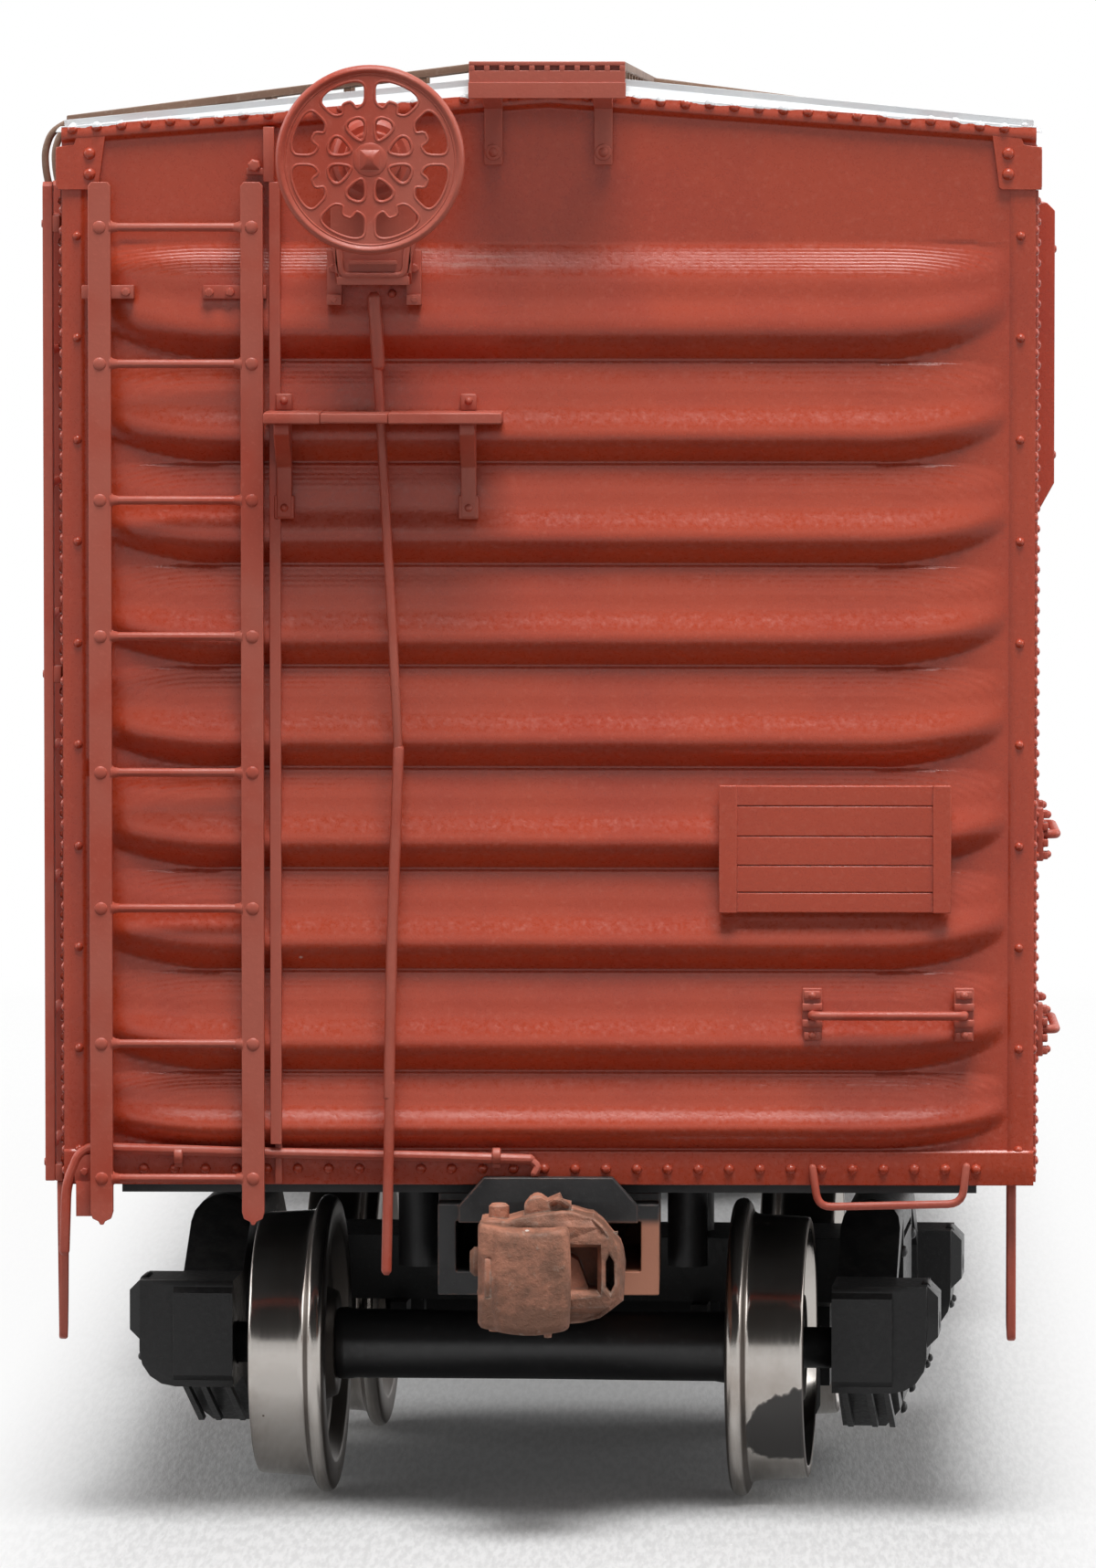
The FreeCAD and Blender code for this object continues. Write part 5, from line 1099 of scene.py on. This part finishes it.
def knuckle_form():
    """Hooked knuckle: plan outline with a convex face, pushed up to its height, with the groove on its shoulder."""
    plan = [(-2.3, -74.9), (-2.4, -75.6), (-2.42, -76.3), (-2.41, -76.9), (-2.36, -77.4), (-2.25, -77.62),
            (-1.86, -77.78), (-1.78, -77.92), (-1.66, -78.06), (-1.3, -78.13), (-0.8, -78.18), (-0.3, -78.2),
            (0.2, -78.16), (0.55, -78.08), (0.74, -77.95), (0.82, -77.7), (0.8, -77.1), (0.55, -76.75), (0.1, -76.7),
            (-0.15, -76.9), (-0.85, -76.95), (-1.0, -76.5), (-0.95, -74.9), (-1.3, -74.45), (-1.9, -74.4)]
    low, high = 7.62, 11.3
    middle = Vector((-0.85, -76.6, 0))
    rings = []
    for j in range(27):
        t = j / 26
        z = low + (high - low) * t
        rim = min(t, 1 - t) * (high - low)
        share = 1.0 - 0.05 * max(0.0, 1 - rim / 0.18) ** 2
        swing, lean, reach = (-0.12, 1.3, 0.6) if t < 0.5 else (-0.17, 1.15, 0.55)
        rings.append([])
        for x, y in plan:
            p = middle + (Vector((x, y, 0)) - middle) * share
            if y < -77.4:
                p.y += 0.12 * (2 * t - 1) ** 2
            if x > 0.5 and y < -77.0:
                p.x += 0.07 * (1 - (2 * t - 1) ** 2)
            if -2.38 < x < -2.0 and y < -77.3 and 8.8 < z < 10.25:
                p.x += 0.16
                p.y += 0.12
            sag = swing * math.cos((x + reach) * lean)
            rings[-1].append((p.x, max(p.y, -78.2), z + sag * abs(2 * t - 1) ** 3))
    return Form().skin(rings).block((-2.16, -77.7, 8.8), (-1.9, -77.5, 10.2))


# Trucks and wheels

def wheel_form():
    """Right wheel of a pair about the X axis: flange, fillet, coned tread, rim lip, dished web and hub."""
    back = 7.27
    profile = [(0, 0.75), (0, 1.9), (0.45, 2.1), (0.5, 3.9), (0.04, 4.25), (0, 4.4), (0, 5.12), (0.03, 5.25),
               (0.1, 5.36), (0.22, 5.43), (0.34, 5.45), (0.48, 5.42), (0.58, 5.33), (0.65, 5.2), (0.7, 5.05),
               (0.76, 4.95), (0.86, 4.89), (1.0, 4.865), (1.8, 4.82), (2.66, 4.775), (2.76, 4.74), (2.8, 4.66),
               (2.8, 4.42), (2.76, 4.34), (2.2, 4.2), (2.1, 3.9), (2.25, 2.2), (2.6, 1.9), (2.62, 1.3), (2.6, 0.75)]
    return Form().lathe([(back + along, radius) for along, radius in profile], (0, 0, 0), (1, 0, 0), 144, "joined")


def axle_form():
    half = [(12.95, 0.02), (12.35, 0.7), (12.3, 0.75), (7.4, 0.75), (7.3, 1.2), (7.2, 1.3), (6.9, 1.32), (6.6, 1.27)]
    profile = [(-along, radius) for along, radius in half] + [(0, 1.25)] + half[::-1]
    return Form().lathe(profile, (0, 0, 0), (1, 0, 0), 64)


def truck_detail_form():
    """Lid hinges, lid bolts, column bolts, spring plates and the ribs below the ends, about the truck's middle."""
    form = Form()
    for side in (-1, 1):
        out = (side, 0, 0)
        for y in (-WHEELBASE / 2, WHEELBASE / 2):
            form.lathe([(-0.6, 0.2), (0.6, 0.2)], (side * 14.3, y, 7.75), (0, 1, 0), 12)
            form.block((side * 14.0, y - 0.95, 6.95), (side * 14.55, y + 0.95, 7.6))
            for dy in (-0.95, 0.95):
                form.dome((side * 14.38, y + dy, 5.0), out, 0.16, 0.14, 8)
            form.dome((side * 14.8, y, 6.5), out, 0.34, 0.05, 14)
        for y in (-3.15, 3.15):
            for z in (8.3, 2.5):
                form.dome((side * 13.12, y, z), out, 0.24, 0.2, 8)
        for z in (3.05, 6.05):
            form.block((side * 11.05, -2.5, z), (side * 13.1, 2.5, z + 0.24))
        for x in (11.2, 12.1, 12.75):
            low = min(side * x, side * (x + 0.22))
            form.prism([(low, y, z) for y, z in ((-10.9, 4.2), (-10.2, 4.2), (-4.2, 2.0), (-4.9, 1.95))],
                       (0.22, 0, 0))
    return form


def truck_placed(form, side, y=0.0, z=0.0):
    """A truck's piece at its end of the car; the brake end's truck stands slightly turned."""
    turn = Matrix.Rotation(FRONT_TURN if side < 0 else 0.0, 3, "Z")
    return form.changed(lambda p: turn @ (p + Vector((0, y, z))) + Vector((0, side * TRUCK_Y, 0)))


# Settings

def length(name, description, value, low, high):
    return FloatProperty(name=name, description=description, default=value, min=low, max=high, unit="LENGTH",
                         precision=5)


def power(name, description, value):
    return FloatProperty(name=name, description=description, default=value, min=0, unit="POWER")


def colour(name, description, value):
    return FloatVectorProperty(name=name, description=description, subtype="COLOR", size=4, min=0, max=1,
                               default=(*value, 1))


class BoxcarSizes(bpy.types.PropertyGroup):
    """Sizes of the visible detail."""
    rib_relief: length("Rib relief", "How far the pressed ribs stand out", 0.00084, 0.0001, 0.0012)
    rib_taper: length("Rib taper", "Length of the pointed end of each rib", 0.0046, 0.001, 0.01)
    rivet_radius: length("Rivet radius", "Radius of a body rivet", 0.00015, 0.00005, 0.0004)
    rivet_height: length("Rivet height", "Height of a body rivet", 0.00009, 0.00002, 0.0003)
    rung_radius: length("Rung radius", "Radius of the ladder rungs", 0.00016, 0.00005, 0.0004)


class BoxcarColours(bpy.types.PropertyGroup):
    """Paint and material colours."""
    paint: colour("Body paint", "Red of the body", (0.45, 0.052, 0.017))
    paint_shade: colour("Body paint shade", "Darker patches of the red", (0.405, 0.043, 0.016))
    paint_pale: colour("Body paint pale", "Rubbed and grainy spots of the red", (0.54, 0.13, 0.085))
    fitting: colour("Fittings", "Red plastic of ladders, wheel and grabs", (0.44, 0.095, 0.06))
    walk: colour("Walks", "Brown of the walks on the roof", (0.23, 0.135, 0.09))
    walk_shade: colour("Walks shade", "Darker patches of the walks", (0.15, 0.075, 0.05))
    walk_pale: colour("Walks pale", "Worn edges of the walks", (0.36, 0.28, 0.22))
    roof: colour("Roof", "White of the roof", (0.70, 0.71, 0.72))
    plastic: colour("Frame plastic", "Black plastic of trucks and underframe", (0.012, 0.012, 0.0125))
    box: colour("Coupler box", "Dark grey of the coupler box", (0.027, 0.027, 0.028))
    rust: colour("Rust", "Rust of the couplers", (0.44, 0.185, 0.115))
    rust_dark: colour("Dark rust", "Dark patches of the couplers", (0.19, 0.088, 0.055))
    rust_pale: colour("Grey metal", "Grey spots of the couplers", (0.38, 0.33, 0.28))
    nickel: colour("Nickel", "Bright wheels", (0.49, 0.46, 0.43))
    nickel_stain: colour("Nickel stain", "Brown stains on the wheels", (0.26, 0.2, 0.16))
    dust: colour("Dust", "Settled dust and pale specks", (0.62, 0.50, 0.45))


class BoxcarStage(bpy.types.PropertyGroup):
    """Light, floor and camera."""
    lamp_power: power("Top lamp", "Power of the soft lamp above", 14.5)
    fill_power: power("Fill lamp", "Power of the fill lamp in front", 0.25)
    side_power: power("Side lamps", "Power of each of the two low lamps at the sides", 1.0)
    world_level: FloatProperty(name="Room light", description="Level of the light from all around", default=0.17,
                               min=0, max=1)
    lens: FloatProperty(name="Focal length", description="Focal length of the camera", default=238.9, min=1,
                        unit="CAMERA")
    floor: colour("Floor", "Colour of the floor", (0.52, 0.52, 0.52))


# Builders

class Build:
    """What all builders share."""
    bl_options = {"REGISTER", "UNDO"}

    def execute(self, context):
        self.build(context)
        return {"FINISHED"}


class BOXCAR_OT_materials(Build, bpy.types.Operator):
    """Build the shared effects and the paint, plastic and metal finishes"""
    bl_idname = "boxcar.materials"
    bl_label = "Finishes"

    def build(self, context):
        build_groups()
        build_materials(context.scene.boxcar_colours)


class BOXCAR_OT_ends(Build, bpy.types.Operator):
    """Pressed end sheets with rivets, caps and ladder brackets"""
    bl_idname = "boxcar.ends"
    bl_label = "Ends"

    def build(self, context):
        sizes = context.scene.boxcar_sizes
        form, relief, ripple = end_face(sizes)
        for name, made, node in (("end_sheet_brake", form, "end_brake"),
                                 ("end_sheet_plain", form.changed(half_turn), "end_plain")):
            thing = make(name, made, "body_paint", "car", [node], edge=0)
            for key, values in (("relief", relief), ("ripple", ripple)):
                attribute = thing.data.attributes.new(key, "FLOAT", "POINT")
                attribute.data.foreach_set("value", values)
        make("end_rivets", both_ends(end_rivets(sizes)), "body_paint", edge=0)
        make("corner_caps", both_ends(corner_caps()), "body_paint", edge=0.06)
        make("ladder_brackets", both_ends(ladder_brackets()), "fitting_paint", edge=0.08)


class BOXCAR_OT_sides(Build, bpy.types.Operator):
    """Sides and doors with their rivets"""
    bl_idname = "boxcar.sides"
    bl_label = "Sides and doors"

    def build(self, context):
        for node in ("side_right", "side_left", "door_right", "door_left", "door_tracks"):
            soften(node, "body_paint", 0.05, joined=False)
        for name, side in (("right", 1), ("left", -1)):
            make("side_rivets_" + name, side_rivet_form(side), "body_paint", edge=0)


class BOXCAR_OT_roof(Build, bpy.types.Operator):
    """Roof with its panels, walks and roof grabs"""
    bl_idname = "boxcar.roof"
    bl_label = "Roof and walks"

    def build(self, context):
        make("roof_sheet", roof_sheet(), "roof_paint", nodes=["roof"])
        make("roof_panels", roof_details(), "roof_paint", edge=0.06)
        make("ridge_walk", walk_grating(), "walk_paint", nodes=["running_board"], edge=0.03, segments=1)
        make("walk_lips", both_ends(walk_ends()), "fitting_paint")
        make("side_walks", both_ends(side_walk_form()), "walk_paint", nodes=["roof_side_boards"], edge=0.03,
             segments=1)
        make("roof_grab_bars", both_ends(roof_grab_form()), "walk_paint", nodes=["roof_grabs"], edge=0)


class BOXCAR_OT_ladders(Build, bpy.types.Operator):
    """End and side ladders"""
    bl_idname = "boxcar.ladders"
    bl_label = "Ladders"

    def build(self, context):
        sizes = context.scene.boxcar_sizes
        make("end_ladder_pair", both_ends(ladder_form(sizes)), "fitting_paint", nodes=["end_ladders"], edge=0.09,
             segments=3)
        make("side_ladder_pair", both_ends(side_ladder_form(sizes)), "fitting_paint", nodes=["side_ladders"],
             edge=0.06)


class BOXCAR_OT_hand_brake(Build, bpy.types.Operator):
    """Hand brake wheel, gear case, rod and platform"""
    bl_idname = "boxcar.hand_brake"
    bl_label = "Hand brake"

    def build(self, context):
        make("hand_wheel", brake_wheel_form(), "fitting_paint", nodes=["brake_wheel"], edge=0.04, angle=50)
        make("brake_gear_case", brake_housing_form(), "fitting_paint", nodes=["brake_housing"], edge=0.08)
        make("brake_pull_rod", brake_rod_form(), "fitting_paint", nodes=["brake_rod"], edge=0)
        make("brake_platform", brake_step_form(), "fitting_paint", nodes=["brake_step"], edge=0.07)


class BOXCAR_OT_fittings(Build, bpy.types.Operator):
    """Boards, grabs, steps and uncoupling levers"""
    bl_idname = "boxcar.fittings"
    bl_label = "Boards and grabs"

    def build(self, context):
        make("notice_boards", both_ends(tack_board_form()), "body_paint", nodes=["tack_boards"], edge=0.04)
        board = side_board_form()
        boards = both_ends(board).joined(both_ends(board.changed(mirror_x)))
        make("high_boards", boards, "body_paint", nodes=["side_boards"], edge=0.06)
        grabs = side_grab_form(24.7).joined(side_grab_form(17.7))
        make("side_hand_grabs", both_ends(grabs), "fitting_paint", nodes=["side_grabs"])
        holds = grab_form(9.4, END_Y - 0.5, 18.4, 5.4).joined(sill_hold_form())
        make("end_hand_grabs", both_ends(holds), "fitting_paint", nodes=["end_grabs"])
        irons = both_ends(step_iron_form(-17.64, 0.1, -0.062)).joined(both_ends(step_iron_form(16.4, 0.0, 0.02)))
        make("stirrup_steps", irons, "fitting_paint", nodes=["sill_steps"], edge=0.08)
        make("uncoupling_levers", both_ends(lever_form()), "fitting_paint", nodes=["cut_levers"])


class BOXCAR_OT_underframe(Build, bpy.types.Operator):
    """Underframe, floor, ballast and air brake gear"""
    bl_idname = "boxcar.underframe"
    bl_label = "Underframe"

    def build(self, context):
        for node in ("underframe", "brake_cylinder", "air_reservoir", "control_valve"):
            soften(node, "under_plastic", 0.06, joined=node != "underframe")
        soften("coupler_boxes", "box_plastic", 0.05)
        soften("kingpins", "frame_plastic", 0.08)
        soften("floor_plate", "floor_plastic", 0.05)
        soften("ballast_plate", "ballast_steel", 0.08)


class BOXCAR_OT_couplers(Build, bpy.types.Operator):
    """Coupler heads and knuckles"""
    bl_idname = "boxcar.couplers"
    bl_label = "Couplers"

    def build(self, context):
        for name, change in (("front", lambda p: p), ("rear", half_turn)):
            for piece, form, angle in (("coupler", coupler_form(), 25), ("knuckle", knuckle_form(), 35)):
                title = "coupler_head_" if piece == "coupler" else "coupler_knuckle_"
                make(title + name, form.changed(change), "cast_rust", "%s_%s_body" % (piece, name),
                     ["%s_%s" % (piece, name)], edge=0.1, segments=3, angle=angle)


class BOXCAR_OT_trucks(Build, bpy.types.Operator):
    """Truck side frames, bolsters and brake beams"""
    bl_idname = "boxcar.trucks"
    bl_label = "Trucks"

    def build(self, context):
        for end, side in (("front", -1), ("rear", 1)):
            soften("truck_%s_sides" % end, "frame_plastic", 0.16, joined=False)
            soften("truck_%s_bolster" % end, "frame_plastic", 0.1)
            soften("truck_%s_brakes" % end, "frame_plastic", 0.06)
            make("truck_details_" + end, truck_placed(truck_detail_form(), side), "frame_plastic", "truck_" + end,
                 edge=0.06)


class BOXCAR_OT_wheels(Build, bpy.types.Operator):
    """Turned wheels and axles"""
    bl_idname = "boxcar.wheels"
    bl_label = "Wheels and axles"

    def build(self, context):
        pair = wheel_form().joined(wheel_form().changed(mirror_x))
        places = [(side, y) for side in (-1, 1) for y in (-WHEELBASE / 2, WHEELBASE / 2)]
        for number, (side, y) in enumerate(places, 1):
            body = "wheelset_%d" % number
            make("wheel_pair_%d" % number, truck_placed(pair, side, y, AXLE_Z), "nickel", body,
                 ["wheels_%d" % number], edge=0)
            make("axle_shaft_%d" % number, truck_placed(axle_form(), side, y, AXLE_Z), "axle_plastic", body,
                 ["axle_%d" % number], edge=0)


class BOXCAR_OT_stage(Build, bpy.types.Operator):
    """Floor, soft light, room and camera"""
    bl_idname = "boxcar.stage"
    bl_label = "Stage"

    def build(self, context):
        stage = context.scene.boxcar_stage
        build_floor(stage)
        build_lights(context, stage)
        build_camera(context, stage)


def sheet(name, corners, material):
    """One flat face of the stage, in metres."""
    mesh = bpy.data.meshes.new(name)
    mesh.from_pydata(corners, [], [tuple(range(len(corners)))])
    mesh.materials.append(bpy.data.materials[material])
    thing = bpy.data.objects.new(name, mesh)
    bpy.context.scene.collection.objects.link(thing)
    return thing


def build_floor(stage):
    """Large pale floor that goes over to white away from the model, with painted light that lifts the car's shadow on
    it, and two screens seen only in reflections.
    """
    net = new_material("floor_paper")
    point = net.point()
    parts = net.parts(point)
    grain = net.noise(4400.0, 2.0, 0.6, net.vector("MULTIPLY", point, (1.0, 0.12, 1.0)))
    direct = net.seen()
    away = net.vector("LENGTH", point, output="Value")
    dull = net.blend(net.spread(away, 0.1, 0.35), grey(0.24), grey(0.13))
    pale = net.blend(net.spread(grain, 0.35, 0.65), stage.floor, grey(0.62))
    paper = layered(net, pale, [(effect("specks", Size=2600.0, Share=0.05), 0.7, grey(1))])
    net.feed(Base_Color=net.blend(direct, dull, paper), Roughness=0.6, Specular_IOR_Level=0.3,
             Normal=net.bump(grain, 0.05, 0.5))
    # Painted light: white glow from just inside the car's sides outwards, which washes out the shadow beside the car.
    painted_light_aside = net.times(net.spread(net.far(parts[0]), 0.0125, 0.023), 0.93)
    # Painted light: a pool of white glow on the floor under the middle of the car, between the trucks, that lifts its
    # shadow.
    middle = net.spread(net.far(parts[1]), 0.033, 0.043, 0.19, 0.0)
    # White backdrop far from the car; its lowest level of 0.035 is painted light that lifts every shadow on the floor,
    # and its ramp from 68 mm paints light over the shadow in front of the ends.
    backdrop_and_painted_light = net.calc("MAXIMUM", net.spread(away, 0.068, 0.17, 0.035, 1.0), painted_light_aside)
    backdrop_and_painted_light = net.calc("MAXIMUM", backdrop_and_painted_light, middle)
    white = net.node("Emission", {"Color": grey(1), "Strength": 1.0}).outputs[0]
    mixed = net.node("MixShader", {0: net.times(backdrop_and_painted_light, direct), 1: net.shader.outputs[0], 2: white}).outputs[0]
    net.link(net.sink, {0: mixed})

    net = new_material("screen_cloth")
    height = net.parts()[2]
    warm = net.blend(net.spread(height, 0.1, 0.5), grey(0.85), (1.5, 1.45, 1.4, 1))
    glow = net.blend(net.spread(height, 0.6, 0.7), warm, (0.02, 0.016, 0.014, 1))
    net.feed(Base_Color=grey(0.01), Roughness=0.9, Emission_Color=glow, Emission_Strength=1.0)
    new_material("card_cloth").feed(Base_Color=(0.01, 0.008, 0.007, 1), Roughness=0.9)

    floor = sheet("studio_floor", [(-6, -6, 0), (6, -6, 0), (6, 6, 0), (-6, 6, 0)], "floor_paper")
    screen = sheet("reflected_screen", [(-0.9, -1.1, 0), (0.9, -1.1, 0), (0.9, -1.1, 2.3), (-0.9, -1.1, 2.3)],
                   "screen_cloth")
    near, far, level = -0.108, -0.0725, 0.0117
    card = sheet("reflected_card", [(-0.03, near, level), (0.03, near, level), (0.03, far, level),
                                    (-0.03, far, level)], "card_cloth")
    for thing in (screen, card):
        thing.visible_camera = False
        thing.visible_diffuse = False
        thing.visible_shadow = False
        thing.visible_transmission = False


def lamp(name, location, target, size, energy):
    data = bpy.data.lights.new(name, "AREA")
    data.shape = "RECTANGLE"
    data.size, data.size_y = size
    data.energy = energy
    thing = bpy.data.objects.new(name, data)
    bpy.context.scene.collection.objects.link(thing)
    thing.location = location
    thing.rotation_euler = (Vector(target) - Vector(location)).to_track_quat("-Z", "Y").to_euler()
    thing.visible_camera = False
    return thing


def build_lights(context, stage):
    end_middle = (0.0, -0.07, 0.03)
    lamp("top_softbox", (0.08, -0.41, 1.05), end_middle, (0.5, 0.55), stage.lamp_power)
    fill = lamp("front_fill", (0.3, -0.9, 0.5), end_middle, (0.5, 0.4), stage.fill_power)
    fill.visible_glossy = False
    for name, x in (("left_card", -0.42), ("right_card", 0.42)):
        lamp(name, (x, 0.05, 0.22), (0.0, 0.0, 0.01), (0.4, 0.28), stage.side_power)
    world = bpy.data.worlds.new("room")
    context.scene.world = world
    world.use_nodes = True
    net = Net(world.node_tree)
    net.tree.nodes.clear()
    level = net.node("MapRange", {"Value": net.seen(), "To Min": stage.world_level, "To Max": 1.0}).outputs[0]
    back = net.node("Background", {"Color": grey(1), "Strength": level}).outputs[0]
    net.node("OutputWorld", {0: back})
    context.scene.view_settings.view_transform = "Standard"


def build_camera(context, stage):
    data = bpy.data.cameras.new("photo_camera")
    data.lens = stage.lens
    data.sensor_width = 36
    data.clip_start = 0.01
    camera = bpy.data.objects.new("photo_camera", data)
    context.scene.collection.objects.link(camera)
    camera.location = (0.00646, -0.442, 0.0503)
    camera.rotation_euler = (math.radians(90 - 3.668), 0, math.radians(1.0034))
    context.scene.camera = camera


class BOXCAR_PT_panel(bpy.types.Panel):
    """Sidebar panel with every builder"""
    bl_label = "Boxcar"
    bl_idname = "BOXCAR_PT_panel"
    bl_space_type = "VIEW_3D"
    bl_region_type = "UI"
    bl_category = "Boxcar"

    def draw(self, context):
        for settings in (context.scene.boxcar_sizes, context.scene.boxcar_colours, context.scene.boxcar_stage):
            for key in settings.__annotations__:
                self.layout.prop(settings, key)
        for builder in BUILDERS:
            self.layout.operator(builder.bl_idname)


BUILDERS = (BOXCAR_OT_materials, BOXCAR_OT_ends, BOXCAR_OT_sides, BOXCAR_OT_roof, BOXCAR_OT_ladders,
            BOXCAR_OT_hand_brake, BOXCAR_OT_fittings, BOXCAR_OT_underframe, BOXCAR_OT_couplers, BOXCAR_OT_trucks,
            BOXCAR_OT_wheels, BOXCAR_OT_stage)
GROUPS = (BoxcarSizes, BoxcarColours, BoxcarStage)


def register():
    for kind in GROUPS + BUILDERS + (BOXCAR_PT_panel,):
        bpy.utils.register_class(kind)
    bpy.types.Scene.boxcar_sizes = PointerProperty(type=BoxcarSizes)
    bpy.types.Scene.boxcar_colours = PointerProperty(type=BoxcarColours)
    bpy.types.Scene.boxcar_stage = PointerProperty(type=BoxcarStage)


def unregister():
    del bpy.types.Scene.boxcar_stage
    del bpy.types.Scene.boxcar_colours
    del bpy.types.Scene.boxcar_sizes
    for kind in reversed(GROUPS + BUILDERS + (BOXCAR_PT_panel,)):
        bpy.utils.unregister_class(kind)


def main():
    register()
    for builder in BUILDERS:
        group_name, operator = builder.bl_idname.split(".")
        getattr(getattr(bpy.ops, group_name), operator)()


if __name__ == "__main__":
    main()
